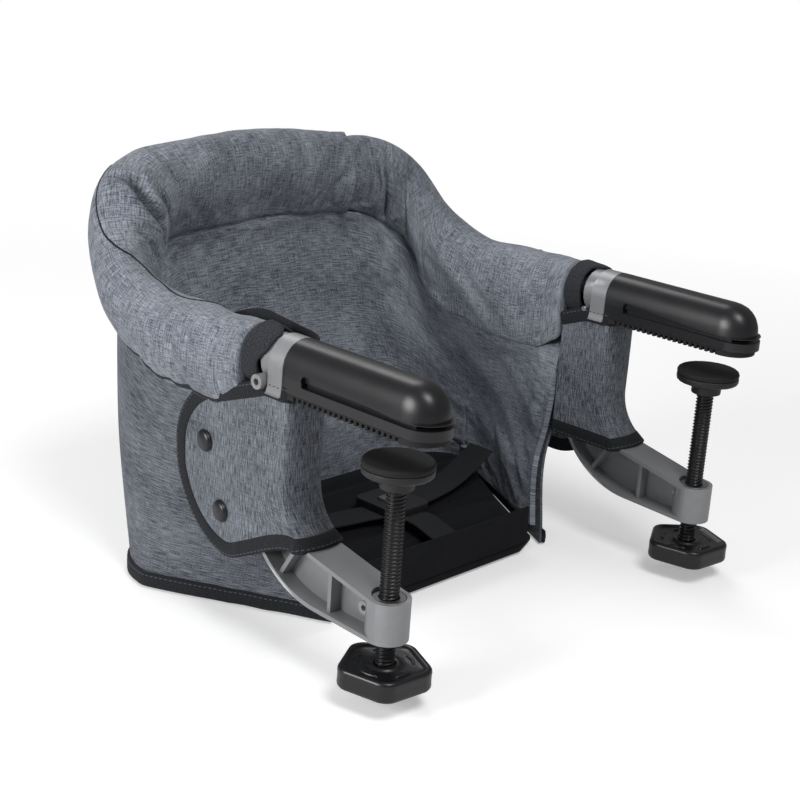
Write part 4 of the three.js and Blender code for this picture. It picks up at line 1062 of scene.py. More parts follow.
class SEAT_OT_rim_sleeve(bpy.types.Operator):
    """Makes the padded sleeve over the rim tube, with its gathers and its piped seams."""

    bl_idname = "seat.rim_sleeve"
    bl_label = "Rim sleeve"

    count = 480
    around = 72
    closing_share = 0.006
    free_share = 0.04

    def execute(self, context):
        count, around = self.count, self.around
        points, centre, share, turn = sleeve_rings(count, around)
        ends = np.minimum(share, 1 - share)
        closing = np.clip(1 - ends / self.closing_share, 0, 1)[:, None, None]
        bore = centre[:, None] + unit(points - centre[:, None]) * SLEEVE_BORE
        points = mix(points, bore, 0.8 * closing ** 2)
        sleeve = grid_piece("rim_sleeve_cloth", points, closed=True)
        facing(sleeve, points[count // 2, 0] - centre[count // 2], count // 2 * around)
        s, t = np.repeat(share, around), np.tile(turn, count)
        free = ease(np.repeat(ends, around) / self.free_share)
        places = positions(sleeve.data)
        amount = self.folds(places, s, t) * free
        normals = vertex_normals(sleeve.data)
        place_vertices(sleeve.data, self.clear_of_tube(places + normals * amount[:, None], centre))
        pins = np.maximum(1 - free, 0.9 * hill(np.abs(t - math.pi), 0, 0.35))
        swell(sleeve, pressure=1.0, growth=0.03, pins=pins)
        place_vertices(sleeve.data, self.clear_of_tube(positions(sleeve.data), centre))
        surface = positions(sleeve.data).reshape(count, around, 3)
        normals = vertex_normals(sleeve.data).reshape(count, around, 3)
        edit(sleeve.data, lambda work: bmesh.ops.holes_fill(work, edges=work.edges, sides=0))
        soften(sleeve)
        smooth(sleeve, 80)
        dress(sleeve, finish_of("sleeve_linen"), "seat", ["rim_sleeve"])
        for name, side in SIDES.items():
            self.piping(name, side, surface, normals)
            self.hem_tape(name, side, surface, normals)
        self.arm_strap()
        return {"FINISHED"}

    def clear_of_tube(self, places, centre):
        """The places of the rings' points, none nearer to the tube's centre than the sleeve's bore."""
        middle_of_ring = np.repeat(centre, self.around, axis=0)
        off = places - middle_of_ring
        reach = np.linalg.norm(off, axis=1)[:, None]
        return middle_of_ring + off * np.maximum(reach, SLEEVE_BORE) / reach

    def folds(self, places, s, t):
        """Heights of the creases, the puffed corners and the loose wrinkles."""
        height = sizes().wrinkle
        amount = rumple(places, BROAD_WRINKLE, height, 3) + rumple(places, FINE_WRINKLE, height / 2.5, 9)
        rim_reach = s * RIM.length
        cloth = np.stack([rim_reach, np.degrees(t) * 0.4 * DEGREE_REACH, np.zeros_like(s)], -1)
        corner = sum(hill(s, *place) for place in GATHERED)
        inside = ease(-np.sin(t) + 0.3)
        amount += rumple(cloth, GATHER, height, 15) * (0.12 + 0.5 * corner) * inside
        on_sides = ease((DRAG_SHARE - np.minimum(s, 1 - s)) / DRAG_FADE_SHARE)
        amount += drag_folds(places) * on_sides * ease(-2 * np.sin(t)) * height
        for path, depth, width, sink in CREASES:
            line = np.array(path, float)
            line[:, 1] = np.degrees(np.unwrap(np.radians(line[:, 1])))
            middle_turn = line[:, 1].mean()
            near_turn = (np.degrees(t) - middle_turn + 180) % 360 - 180
            line = (line - (0, middle_turn)) * (RIM.length, DEGREE_REACH)
            away, side = self.away_from(np.stack([rim_reach, near_turn * DEGREE_REACH], -1), line)
            valley = np.exp(-(away / width) ** 1.6)
            puffed = np.exp(-(away / (3.5 * width)) ** 2) * (1 - valley)
            amount += 0.25 * depth * puffed - depth * valley
            if sink:
                step = sink * mix(0.5, 1, inside)
                amount -= step * (side > 0) * np.exp(-away / SINK_REACH)
                amount += 0.4 * step * (side <= 0) * np.exp(-away / RAISED_REACH)
        raised = sum(hill(s, share, reach) * rise for share, reach, rise in PUFFS)
        return amount + raised * ease(np.cos(t) + 0.7)

    def away_from(self, places, line):
        """Distances of places from a bent line, and the side of it that each lies on."""
        nearest = np.full(len(places), np.inf)
        side = np.zeros(len(places))
        for start, end in zip(line[:-1], line[1:]):
            run = end - start
            share = np.clip(((places - start) @ run) / (run @ run), 0, 1)
            off = places - (start + share[:, None] * run)
            far = np.linalg.norm(off, axis=1)
            closer = far < nearest
            side = np.where(closer, np.sign(off[:, 0]), side)
            nearest = np.where(closer, far, nearest)
        return nearest, side

    def on_surface(self, surface, normals, shares, turns):
        """Points and normals of the sleeve at shares along the rim and turns from the top, in degrees."""
        rows = np.clip(shares, 0, 1) * (self.count - 1)
        columns = (np.asarray(turns) % 360) / 360 * self.around
        i = np.minimum(rows.astype(int), self.count - 2)
        j = columns.astype(int) % self.around
        k = (j + 1) % self.around
        u, v = (rows - i)[:, None], (columns - np.floor(columns))[:, None]
        found = [mix(mix(table[i, j], table[i, k], v), mix(table[i + 1, j], table[i + 1, k], v), u)
                 for table in (surface, normals)]
        return found[0], unit(found[1])

    def lay(self, name, surface, normals, shares, turns, section, sink=0.0):
        """A band that follows the sleeve's surface."""
        centres, lift = self.on_surface(surface, normals, shares, turns)
        across = unit(np.cross(lift, unit(np.gradient(centres, axis=0))))
        return swept(name, centres - lift * sink, across, lift, section)

    def piping(self, name, side, surface, normals):
        """The piped seam along the top of a side and round its rear corner."""
        path = np.array(SEAM_SHARES)
        turns = np.degrees(np.unwrap(np.radians(path[:, 1])))
        line = Line([(share * RIM.length, turn * DEGREE_REACH, 0)
                     for share, turn in zip(path[:, 0], turns)])
        along = line.at(np.linspace(0, 1, 260))
        shares, turns = along[:, 0] / RIM.length, along[:, 1] / DEGREE_REACH
        if side > 0:
            shares, turns = 1 - shares, turns + LEFT_SEAM_TURN
        radius = sizes().piping_radius
        ring = turned(radius, even_turns(8), 0)[:, :2]
        piece = self.lay(f"{name}_sleeve_piping", surface, normals, shares, turns, ring, radius * 0.4)
        dress(piece, finish_of("piping"), "seat")

    def hem_tape(self, name, side, surface, normals):
        """The black tape on the sleeve's lower edge, from its front end back."""
        count = 140
        shares = np.linspace(*HEM_TAPE_SHARES, count)
        turns = np.full(count, HEM_TAPE_TURN)
        half, thick = sizes().hem_tape / 2, TAPE_HALF_THICKNESS
        section = np.array([(-half, -thick), (-half, thick * 0.5), (-half * 0.8, thick),
                            (half * 0.8, thick), (half, thick * 0.5), (half, -thick)])
        narrowed = ease((shares - HEM_TAPE_NARROWS_SHARE) / HEM_TAPE_FADE_SHARE)
        width = mix(1, HEM_TAPE_THIN_SHARE, narrowed)
        section = section[None] * np.stack([width, np.ones(count)], -1)[:, None]
        shares = shares if side < 0 else 1 - shares
        piece = self.lay(f"{name}_hem_tape", surface, normals, shares, turns, section)
        dress(piece, finish_of("cuff_tape"), "seat")

    def arm_strap(self):
        """The webbing strap that stands on edge inside the right arm. The left arm shows none."""
        top = Line([(inwards * MM - ARM_HALF, y * MM, z * MM) for inwards, y, z in ARM_STRAP])
        share = np.linspace(0, 1, 120)
        centres, along = top.at(share), top.tangent(share)
        up = np.broadcast_to(UP, centres.shape)
        out = unit(np.cross(up, along))
        wide, thick = ARM_STRAP_WIDTH, TAPE_HALF_THICKNESS
        section = [(-thick, -wide), (-thick, -thick), (0, 0), (thick, -thick), (thick, -wide),
                   (0, -wide - thick)]
        strap = swept("right_arm_strap", centres, out, up, section)
        dress(strap, finish_of("strap_tape"), "seat")


# Walls
def wall_grid(inset, low, high, columns, rows):
    """Points of the wall between two heights above its foot and below its head, with the shares at each."""
    along, up = np.meshgrid(np.linspace(0, 1, columns), np.linspace(0, 1, rows))
    height = wall_head(along) - SHELL_LOW
    rise = mix(low / height, 1 - high / height, up)
    return wall_point(along, rise, inset), along, up


# Lengths of the shell's wrinkles: broad, near its foot, and of the tape on its foot
SHELL_WRINKLE = (0.06, 0.06, 0.14)
FOOT_WRINKLE = (0.02, 0.02, 0.06)
BINDING_WAVE = (0.018, 0.018, 0.018)
BINDING_DROP = (0.03, 0.03, 0.03)
BINDING_WAVE_HEIGHT = 1.1 * MM
BINDING_DROP_HEIGHT = 1.4 * MM
BINDING_EDGE = 0.8 * MM
BINDING_FOOT = 0.6 * MM
BINDING_STITCH_DROP = 2.2 * MM
SHELL_FREE_SHARE = 0.04  # of the wall's length, from its front end to where the cloth is free


class SEAT_OT_outer_shell(bpy.types.Operator):
    """Makes the seat's outer wall, and the tape along its lower edge."""

    bl_idname = "seat.outer_shell"
    bl_label = "Outer shell"

    def execute(self, context):
        points, along, up = wall_grid(0, 0, 0, 260, 60)
        held = np.sin(math.pi * up) ** 0.6 * ease(np.minimum(along, 1 - along) / SHELL_FREE_SHARE)
        soft = rumple(points, SHELL_WRINKLE, sizes().wrinkle, 5)
        near_foot = rumple(points, FOOT_WRINKLE, sizes().wrinkle / 2, 6) * (1 - up) ** 2
        points = points + wall_outward(along, up) * ((soft + near_foot) * held)[..., None]
        shell = grid_piece("outer_shell_cloth", points[:, ::-1])
        thicken(shell, SHELL_WALL / 2)
        smooth(shell, 70)
        dress(shell, finish_of("shell_linen"), "seat", ["outer_shell"])
        self.bind_foot()
        return {"FINISHED"}

    def bind_foot(self):
        """The tape folded round the wall's lower edge. It waves a little."""
        along = np.linspace(0, 1, 420)
        foot = wall_point(along, np.zeros_like(along), -CLOTH_GAP)
        out = wall_outward(along, np.zeros_like(along))
        wave = rumple(foot, BINDING_WAVE, BINDING_WAVE_HEIGHT, 12)
        drop = rumple(foot, BINDING_DROP, BINDING_DROP_HEIGHT, 14)
        up = np.broadcast_to(UP, out.shape)
        top, wall = BINDING_HEIGHT, BINDING_WALL
        section = [(0, 0), (wall * 0.6, 0), (wall, BINDING_FOOT), (wall * 1.1, top / 2),
                   (wall * 0.8, top - BINDING_EDGE), (wall * 0.3, top), (0, top)]
        centres = foot + out * (wave * 0.5)[:, None] + up * (np.abs(drop) * 0.6)[:, None]
        binding = swept("bottom_binding_tape", centres, out, up, section)
        dress(binding, finish_of("tape"), "seat", ["bottom_binding"])
        line = centres + out * (wall * 0.95) + up * (top - BINDING_STITCH_DROP)
        stitches = stitch_row("bottom_binding_stitches", line, out)
        dress(stitches, finish_of("thread"), "seat")


LINING_WRINKLE = (0.05, 0.05, 0.11)  # lengths of its wrinkles
LINING_HEAD = 5 * MM  # its top edge, below the wall's head
LINING_LIFT = 2 * MM
LINING_FREE_SHARE = 0.03
# Shares of half the wall from the back's middle: where the sides begin, and over which they come in
LINING_SIDES_SHARE = 0.32
LINING_FADE_SHARE = 0.25
# How far below the wall's head the sides' swelling grows and fades, and where it ends
SWELL_RISE = 6.5 * MM
SWELL_FADE = 76 * MM
SWELL_END = 90 * MM


class SEAT_OT_inner_lining(bpy.types.Operator):
    """Makes the padded lining of the back and the sides."""

    bl_idname = "seat.inner_lining"
    bl_label = "Inner lining"

    def execute(self, context):
        points, along, up = wall_grid(LINING_INSET + LINING_WALL / 2, LINING_FOOT, LINING_HEAD, 300, 90)
        inward = -wall_outward(along, up)
        held = np.sin(math.pi * up) ** 0.5 * ease(np.minimum(along, 1 - along) / LINING_FREE_SHARE)
        soft = rumple(points, LINING_WRINKLE, sizes().wrinkle, 21)
        sides = ease((np.abs(2 * along - 1) - LINING_SIDES_SHARE) / LINING_FADE_SHARE)
        folds = sides * drag_folds(points) * sizes().wrinkle + (1 - 0.4 * sides) * soft
        below = wall_head(along) - points[..., 2]
        swollen = (LINING_SWELL * ease((below - LINING_HEAD) / SWELL_RISE)
                   * ease((SWELL_END - below) / SWELL_FADE))
        points = points + inward * ((folds + LINING_LIFT) * held + sides * swollen)[..., None]
        lining = grid_piece("inner_lining_pad", points)
        pins = np.zeros(points.shape[:2])
        pins[:3] = pins[-3:] = 1
        pins[:, :3] = pins[:, -3:] = 1
        swell(lining, pressure=0.6, growth=0.02, pins=pins.ravel())
        thicken(lining, LINING_WALL / 2)
        smooth(lining, 70)
        dress(lining, finish_of("lining_linen"), "seat", ["inner_lining"])
        return {"FINISHED"}


# Seat base
def base_outline(inset, steps=24):
    """The base in plan, anticlockwise from the front middle."""
    corner_x = BASE_CORNER_X - inset
    radius = BASE_BACK_RADIUS - inset
    centre_x = BASE_SIDE_HALF - BASE_BACK_RADIUS
    front = BASE_FRONT + inset
    places = [(x, front) for x in np.linspace(0, BASE_FRONT_HALF - inset, steps)]
    places += [(mix(corner_x, centre_x + radius, share), mix(BASE_CORNER_Y + inset, BASE_SIDE_Y, share))
               for share in np.linspace(0, 1, 2 * steps)]
    places += [(centre_x + radius * math.cos(turn), BASE_SIDE_Y + radius * math.sin(turn))
               for turn in np.linspace(0, QUARTER, steps)[1:]]
    places += [(x, BASE_SIDE_Y + radius) for x in np.linspace(centre_x, 0, steps)[1:]]
    half = np.array(places)
    other = half[1:-1][::-1] * np.array([-1, 1])
    return np.concatenate([half, other])


def base_ring(inset, height):
    """The base's outline at a height."""
    outline = base_outline(inset)
    return np.column_stack([outline, np.full(len(outline), height)])


# Share of the board's thickness and inset of each of its rings
BOARD_RINGS = ((0, 2 * MM), (0.12, 0.6 * MM), (0.4, 0), (0.8, 0), (1, 1 * MM))
# Share of the cushion's side and inset of each of its rings, and shares of the way out of those of its top
CUSHION_RINGS = ((0, 3.5 * MM), (0.25, 0.4 * MM), (0.5, 0), (0.75, 1.2 * MM), (0.92, 4.5 * MM))
CUSHION_TOP_SHARES = (0.93, 0.85, 0.76, 0.67, 0.58, 0.49, 0.4, 0.31, 0.22, 0.13, 0.05)
CUSHION_SIDE = 20 * MM
CUSHION_SHOULDER_SHARE = 0.96
CUSHION_CROWN = 7 * MM
CHANNEL_OFFSET = 40 * MM
CHANNEL_HALF_WIDTH = 4 * MM
CHANNEL_DEPTH = 4 * MM
CHANNEL_FADE_SHARE = 0.15
APRON_WAVE = (0.03, 1, 0.03)
APRON_SWAY = 1.2 * MM


class SEAT_OT_seat_base(bpy.types.Operator):
    """Makes the covered board, the cushion and the low front apron."""

    bl_idname = "seat.seat_base"
    bl_label = "Seat base and cushion"

    def execute(self, context):
        self.board()
        self.cushion()
        self.apron()
        return {"FINISHED"}

    def board(self):
        low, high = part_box("seat_board")
        rings = [base_ring(LINING_INSET + inset, mix(low.z, high.z, share)) for share, inset in BOARD_RINGS]
        board = grid_piece("seat_board_cover", np.array(rings), closed=True, capped=True)
        smooth(board)
        dress(board, finish_of("black_cloth"), "seat", ["seat_board"])

    def cushion(self):
        """A crowned cushion with two sewn channels across it."""
        low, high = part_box("seat_cushion")
        inset = SEAT_INSET + FACET_SLACK
        middle_y = (low.y + high.y) / 2
        rings = [base_ring(inset + pull, low.z + CUSHION_SIDE * share) for share, pull in CUSHION_RINGS]
        rim = rings[-1]
        centre = np.array([0, middle_y, 0])
        for share in CUSHION_TOP_SHARES:
            ring = mix(centre, rim, share)
            crown = CUSHION_CROWN * np.cos(QUARTER * share) ** 0.6
            channel = sum(hill(ring[:, 1], middle_y + offset, CHANNEL_HALF_WIDTH)
                          for offset in (-CHANNEL_OFFSET, CHANNEL_OFFSET))
            sunk = channel * CHANNEL_DEPTH * ease((1 - share) / CHANNEL_FADE_SHARE)
            ring[:, 2] = low.z + CUSHION_SIDE * CUSHION_SHOULDER_SHARE + crown - sunk
            rings.append(ring)
        cushion = grid_piece("seat_cushion_pad", np.array(rings), closed=True, capped=True)
        edit(cushion.data, lambda work: bmesh.ops.triangulate(
            work, faces=[face for face in work.faces if len(face.verts) > 4]))
        soften(cushion)
        smooth(cushion, 80)
        dress(cushion, finish_of("black_cloth"), "seat", ["seat_cushion"])

    def apron(self):
        """The low black panel between the front corners."""
        low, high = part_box("front_apron")
        across, up = np.meshgrid(np.linspace(0, 1, 90), np.linspace(0, 1, 16))
        middle_y = np.full_like(across, (low.y + high.y) / 2)
        places = np.stack([mix(low.x, high.x, across), middle_y, mix(low.z, high.z, up)], -1)
        places[..., 1] += rumple(places, APRON_WAVE, APRON_SWAY, 31) * np.sin(math.pi * up)
        apron = grid_piece("front_apron_cloth", places)
        thicken(apron, (high.y - low.y) / 2)
        smooth(apron, 70)
        dress(apron, finish_of("black_cloth"), "seat", ["front_apron"])


# Side flaps
def wall_half_width(y, z):
    """Half width of the wall's outer face at places and heights, found along the wall by halving."""
    def found(share):
        rise = (z - SHELL_LOW) / (wall_head(share) - SHELL_LOW)
        return wall_point(share, np.minimum(rise, 1), 0)

    low, high = np.zeros_like(y), np.full_like(y, 0.5)
    for _ in range(16):
        share = (low + high) / 2
        short = found(share)[..., 1] < y
        low, high = np.where(short, share, low), np.where(short, high, share)
    return np.abs(found(low)[..., 0])


FLAP_ON_WALL = CLOTH_GAP + FLAP_WALL
FLAP_HALF_FOLD = ARM_WIDTH / 2 + FLAP_ON_WALL
OVER_ARM = ARM_HALF + FLAP_HALF_FOLD
FLAP_WAVE = (0.04, 0.035, 0.05)
FLAP_SWAY = 0.9 * MM
FLAP_TAPE_PROUD = 0.7 * MM
FLAP_TAPE_EDGE = 0.8 * MM
FLAP_TAPE_SHOULDER = 0.6 * MM
FLAP_TAPE_TURN = 0.9 * MM
FLAP_TAPE_ROUND = 0.5 * MM
FLAP_STITCH_INSET = 1.8 * MM
# Shares of the snap's radius and height round its turned-down rim, up to the foot of its dome
SNAP_RIM_SHARES = ((0, 0), (0.97, 0), (1, 0.1), (0.985, 0.24), (0.93, 0.33))
SNAP_DOME_START = 0.12


def flap_out(y, z):
    """How far out the flap's outer face stands: level over the arm, then straight to the wall."""
    y, z = np.broadcast_arrays(np.asarray(y, float), np.asarray(z, float))
    away = (y - SPINE_REAR) / (FLAP_REAR - SPINE_REAR)
    at_rear = wall_half_width(np.full_like(y, FLAP_REAR), z) + FLAP_ON_WALL
    on_wall = wall_half_width(np.maximum(y, SPINE_REAR), z) + FLAP_ON_WALL
    return np.where(y <= SPINE_REAR, OVER_ARM, np.maximum(mix(OVER_ARM, at_rear, away), on_wall))


def flap_high(y):
    """The flap's upper edge: level at the rear, and up to the collar's foot at the front."""
    rise = np.clip((FLAP_RISE_REAR - y) / (FLAP_RISE_REAR - FLAP_RISE_FRONT), 0, 1)
    return mix(FLAP_HIGH, FLAP_FRONT_TOP, rise)


def flap_lean(y, z):
    """How far the flap's front leans forward, to follow the bend of the arm."""
    below = np.clip(z + BEND_DROP, BEND_DROP + FLAP_NOSE_BOTTOM, 0)
    forward = np.clip((SPINE_REAR - y) / (SPINE_REAR - FLAP_FOLD_Y), 0, 1)
    return (np.sqrt(INNER_BEND ** 2 - below ** 2) - INNER_BEND) * forward


def flap_heights(y):
    """Lower and upper edge of the flap's outer panel."""
    share = np.clip((y - FLAP_MIDDLE) / (FLAP_REAR - FLAP_MIDDLE), 0, 1)
    full = np.sqrt(np.maximum(1 - share ** 2, 0))
    centre, half = (FLAP_TOP + FLAP_BOTTOM) / 2, (FLAP_TOP - FLAP_BOTTOM) / 2
    forward = ease((FLAP_MIDDLE - y) / (FLAP_MIDDLE - FLAP_FOLD_Y))
    low = np.where(y > FLAP_MIDDLE, centre - half * full, mix(FLAP_BOTTOM, FLAP_NOSE_BOTTOM, forward))
    high = np.where(y > FLAP_MIDDLE, np.minimum(centre + half * full, flap_high(y)), flap_high(y))
    return low, high


class SEAT_OT_side_flaps(bpy.types.Operator):
    """Makes the round flaps over the clamp arms, with their tape, stitches and snaps."""

    bl_idname = "seat.side_flaps"
    bl_label = "Side flaps"

    rows = 40

    def execute(self, context):
        for name, side in SIDES.items():
            points, cloth = self.face(side)
            self.panel(name, side, points, cloth)
            self.tape(name, side, points)
            for level, shares in SNAP_SHARES.items():
                self.snap(name, side, level, shares)
        return {"FINISHED"}

    def squash(self, piece, name):
        """Gives a piece its own copy of its mesh."""
        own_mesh(piece)

    def stations(self):
        """Places along the flap from its inner rear edge round the fold to its outer rear edge."""
        fold = FLAP_HALF_FOLD
        places = [(y, ARM_HALF - fold) for y in np.linspace(SLEEVE_FRONT, FLAP_FOLD_Y, 20)[:-1]]
        places += [(FLAP_FOLD_Y - FLAP_FOLD_FRONT * math.sin(turn), ARM_HALF - fold * math.cos(turn))
                   for turn in np.linspace(0, math.pi, 28)[:-1]]
        outer = list(np.linspace(FLAP_FOLD_Y, FLAP_MIDDLE, 40)[:-1])
        outer += [mix(FLAP_MIDDLE, FLAP_REAR, math.sin(QUARTER * step / 40) * FLAP_END_SHARE)
                  for step in range(41)]
        return places + [(y, None) for y in outer]

    def face(self, side):
        """Points of the flap's outer face, and the metres along and across its cloth."""
        columns, cloth = [], []
        run = 0
        for y, x in self.stations():
            low, high = flap_heights(y) if x is None else (FLAP_NOSE_BOTTOM, flap_high(y))
            heights = np.linspace(low, high, self.rows)
            depth = flap_out(np.full(self.rows, y), heights) if x is None else np.full(self.rows, x)
            column = np.stack([side * depth, y + flap_lean(y, heights), heights], -1)
            if columns:
                middle_row = self.rows // 2
                run += np.linalg.norm(column[middle_row] - columns[-1][middle_row])
            columns.append(column)
            cloth.append(np.stack([np.full(self.rows, run), heights], -1))
        return np.array(columns), np.array(cloth)

    def panel(self, name, side, points, cloth):
        """The flap's cloth, which dips between its edges."""
        held = np.sin(math.pi * np.linspace(0, 1, self.rows)) ** 0.5
        sway = rumple(points, FLAP_WAVE, FLAP_SWAY, 41 + side)
        panel = grid_piece(f"{name}_side_flap_cloth", points, cloth)
        facing(panel, (side, 0, 0), (len(points) - 10) * self.rows + self.rows // 2)
        inward = (np.abs(sway) * held[None]).reshape(-1, 1) / 2
        place_vertices(panel.data, positions(panel.data) - vertex_normals(panel.data) * inward)
        thicken(panel, FLAP_WALL)
        smooth(panel, 60)
        dress(panel, finish_of("flap_linen"), "seat", [f"{name}_side_flap"])
        self.squash(panel, name)

    def edge(self, side, points):
        """The flap's edge, from its lower inner corner round the rear to the upper one, evenly spaced."""
        normals = unit(np.cross(np.gradient(points, axis=0), np.gradient(points, axis=1)))
        normals *= np.sign(normals[-20, self.rows // 2, 0] * side)
        loop = [np.concatenate([table[:, 0], table[-1, 1:-1], table[::-1, -1]])
                for table in (points, normals)]
        reach = reach_along(loop[0])
        spaced = [table_at(np.linspace(0, reach[-1], 420), reach, table) for table in loop]
        for _ in range(4):
            for table in spaced:
                table[1:-1] = (table[:-2] + 2 * table[1:-1] + table[2:]) / 4
        return spaced[0], unit(spaced[1])

    def tape(self, name, side, points):
        """Tape folded over the flap's edge, with a row of stitches."""
        centres, lift = self.edge(side, points)
        inward = side * unit(np.cross(unit(np.gradient(centres, axis=0)), lift))
        width, proud, edge = sizes().tape_width, FLAP_TAPE_PROUD, FLAP_TAPE_EDGE
        inner = -FLAP_WALL - proud / 3
        section = [(width, 0.0), (width - FLAP_TAPE_ROUND, proud), (width / 2, 1.15 * proud), (edge, proud),
                   (-FLAP_TAPE_SHOULDER, 0), (-FLAP_TAPE_TURN, -FLAP_WALL / 2),
                   (-FLAP_TAPE_SHOULDER, -FLAP_WALL), (edge, inner), (width, inner)]
        tape = swept(f"{name}_flap_tape", centres, inward, lift, section)
        dress(tape, finish_of("tape"), "seat")
        self.squash(tape, name)
        line = centres + inward * (width - FLAP_STITCH_INSET) + lift * proud
        stitches = stitch_row(f"{name}_flap_stitches", line, lift)
        dress(stitches, finish_of("thread"), "seat")
        self.squash(stitches, name)

    def snap(self, name, side, level, shares):
        """A domed snap with a turned-down rim, set square to the flap."""
        along, down = shares
        y, z = FLAP_REAR * along, mix(FLAP_TOP, FLAP_BOTTOM, down)
        slope_y = float(flap_out(y + SNAP_RADIUS, z) - flap_out(y - SNAP_RADIUS, z)) / (2 * SNAP_RADIUS)
        slope_z = float(flap_out(y, z + SNAP_RADIUS) - flap_out(y, z - SNAP_RADIUS)) / (2 * SNAP_RADIUS)
        outward = Vector((side, -slope_y, -slope_z)).normalized()
        dome_out, dome_up = SNAP_RIM_SHARES[-1]
        dome = [(dome_out * math.cos(turn), mix(dome_up, 1, math.sin(turn)))
                for turn in np.linspace(SNAP_DOME_START, QUARTER, 12)]
        outline = np.array([*SNAP_RIM_SHARES, *dome]) * (SNAP_RADIUS, SNAP_HEIGHT)
        snap = lathe(f"{name}_{level}_snap_cap", outline, 48)
        seat_point = Vector((side * float(flap_out(y, z)), y, z)) + outward * SNAP_LIFT
        square = outward.to_track_quat("Z", "Y").to_matrix().to_4x4()
        snap.data.transform(Matrix.Translation(seat_point) @ square)
        smooth(snap, 40)
        dress(snap, finish_of("snap"), "seat", [f"{name}_{level}_snap"])
        self.squash(snap, name)


CUFF_SLANT = 9 * MM
# Degrees up from straight outwards where the slant starts and ends, and over which it comes and goes
SLANT_START, SLANT_RISE = -12, 50
SLANT_END, SLANT_FADE = 110, 40
# Waves round the cuff of its lumps, their phase, and their share of its radius
CUFF_LUMPS = ((5, 1, 0.012), (11, 0, 0.008))
CUFF_FUZZ = 0.25 * MM
CUFF_FUZZ_SIZE = (2 * MM, 2 * MM, 2 * MM)


class SEAT_OT_tube_cuffs(bpy.types.Operator):
    """Makes the webbing cuffs on the tube. Their front rims slant over the collars, clear of the pins."""

    bl_idname = "seat.tube_cuffs"
    bl_label = "Tube cuffs"

    # Shares of the cuff's radius and length round its section, from the bore's front to its rear
    section = ((0.70, 0.35), (0.86, 0.03), (0.905, 0.0), (0.955, 0.03), (0.985, 0.14), (1.0, 0.32),
               (1.01, 0.55), (1.03, 0.78), (1.06, 0.98), (0.9, 1.05), (0.7, 1.0))

    def execute(self, context):
        for name, side in SIDES.items():
            low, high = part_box(f"{name}_tube_cuff")
            centre = (low + high) / 2
            reach = (high.x - low.x) / 2
            count = 128
            turns = even_turns(count)
            outer = np.degrees(turns) if side > 0 else np.degrees(math.pi - turns)
            outer = (outer + 180) % 360 - 180
            slant = (CUFF_SLANT * ease((outer - SLANT_START) / SLANT_RISE)
                     * ease((SLANT_END - outer) / SLANT_FADE))
            lumps = 1 + sum(share * np.sin(waves * turns + phase) for waves, phase, share in CUFF_LUMPS)
            rings = []
            for radius_share, along_share in self.section:
                radius = reach * radius_share * lumps
                x, z = centre.x + radius * np.cos(turns), centre.z + radius * np.sin(turns)
                y = mix(low.y, high.y, along_share) - slant * max(1 - along_share, 0)
                rings.append(np.stack([x, y, z], -1))
            cuff = grid_piece(f"{name}_tube_cuff_tape", np.array(rings), closed=True)
            facing(cuff, (0, 0, 1), 5 * count + count // 4)
            soften(cuff, 2)
            places = positions(cuff.data)
            fuzz = rumple(places, CUFF_FUZZ_SIZE, CUFF_FUZZ, 61)
            place_vertices(cuff.data, places + vertex_normals(cuff.data) * fuzz[:, None])
            smooth(cuff, 60)
            dress(cuff, finish_of("cuff_tape"), "seat", [f"{name}_tube_cuff"])
        return {"FINISHED"}


# Harness
STRAP_HALF_WIDTH = 12.4 * MM
STRAP_HALF_THICKNESS = 0.75 * MM
SECTION_REACH = 0.03 * MM  # points this near to a section of a solid strap belong to it


class SEAT_OT_harness(bpy.types.Operator):
    """Makes the lap straps, the crotch strap, the buckle and its button."""

    bl_idname = "seat.harness"
    bl_label = "Harness"

    def execute(self, context):
        for name in SIDES:
            self.strap(f"{name}_lap_strap", f"{name}_lap_strap_webbing", long_axis=0)
        self.strap("crotch_strap", "crotch_strap_webbing", long_axis=1)
        dressed_copy("buckle_body", "buckle_body_shell", BUCKLE_ROUND, "buckle", "seat")
        dressed_copy("buckle_button", "buckle_button_cap", BUTTON_ROUND, "button", "harness_button")
        return {"FINISHED"}

    def strap(self, node, name, long_axis):
        """A strap of webbing with thick selvedges, along the solid's own middle line."""
        places = positions(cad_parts[node].data)
        middles = [places[np.abs(places[:, long_axis] - step) < SECTION_REACH].mean(0)
                   for step in np.unique(np.round(places[:, long_axis], 5))]
        line = Line(middles[::max(len(middles) // 10, 1)])
        share = np.linspace(0, 1, 120)
        centres, along = line.at(share), line.tangent(share)
        across = np.zeros_like(centres)
        across[:, 1 - long_axis] = 1
        lift = unit(np.cross(across, along))
        lift *= np.sign(lift[:, 2:3])
        # Shares of the half width and half thickness, from the lower middle of one edge
        edge = [(1, -0.6), (1, 0.6), (0.96, 1.1), (0.88, 0.8)]
        shares = [(-1, -0.6), (-0.96, -1), (0.96, -1), *edge, (0, 0.85), *[(-x, y) for x, y in edge[:0:-1]]]
        section = np.array(shares) * (STRAP_HALF_WIDTH, STRAP_HALF_THICKNESS)
        strap = swept(name, centres, across, lift, section)
        dress(strap, finish_of("strap_tape"), "seat", [node])


# Grips
# Middle of the side slot's ends along Y and Z, their radii, and its depth
SLOT_REAR = (-12 * MM, 15.4 * MM)
SLOT_FRONT = (-87 * MM, 12.6 * MM)
SLOT_REAR_RADIUS = 3.4 * MM
SLOT_FRONT_RADIUS = 1.3 * MM
SLOT_DEPTH = 3.2 * MM


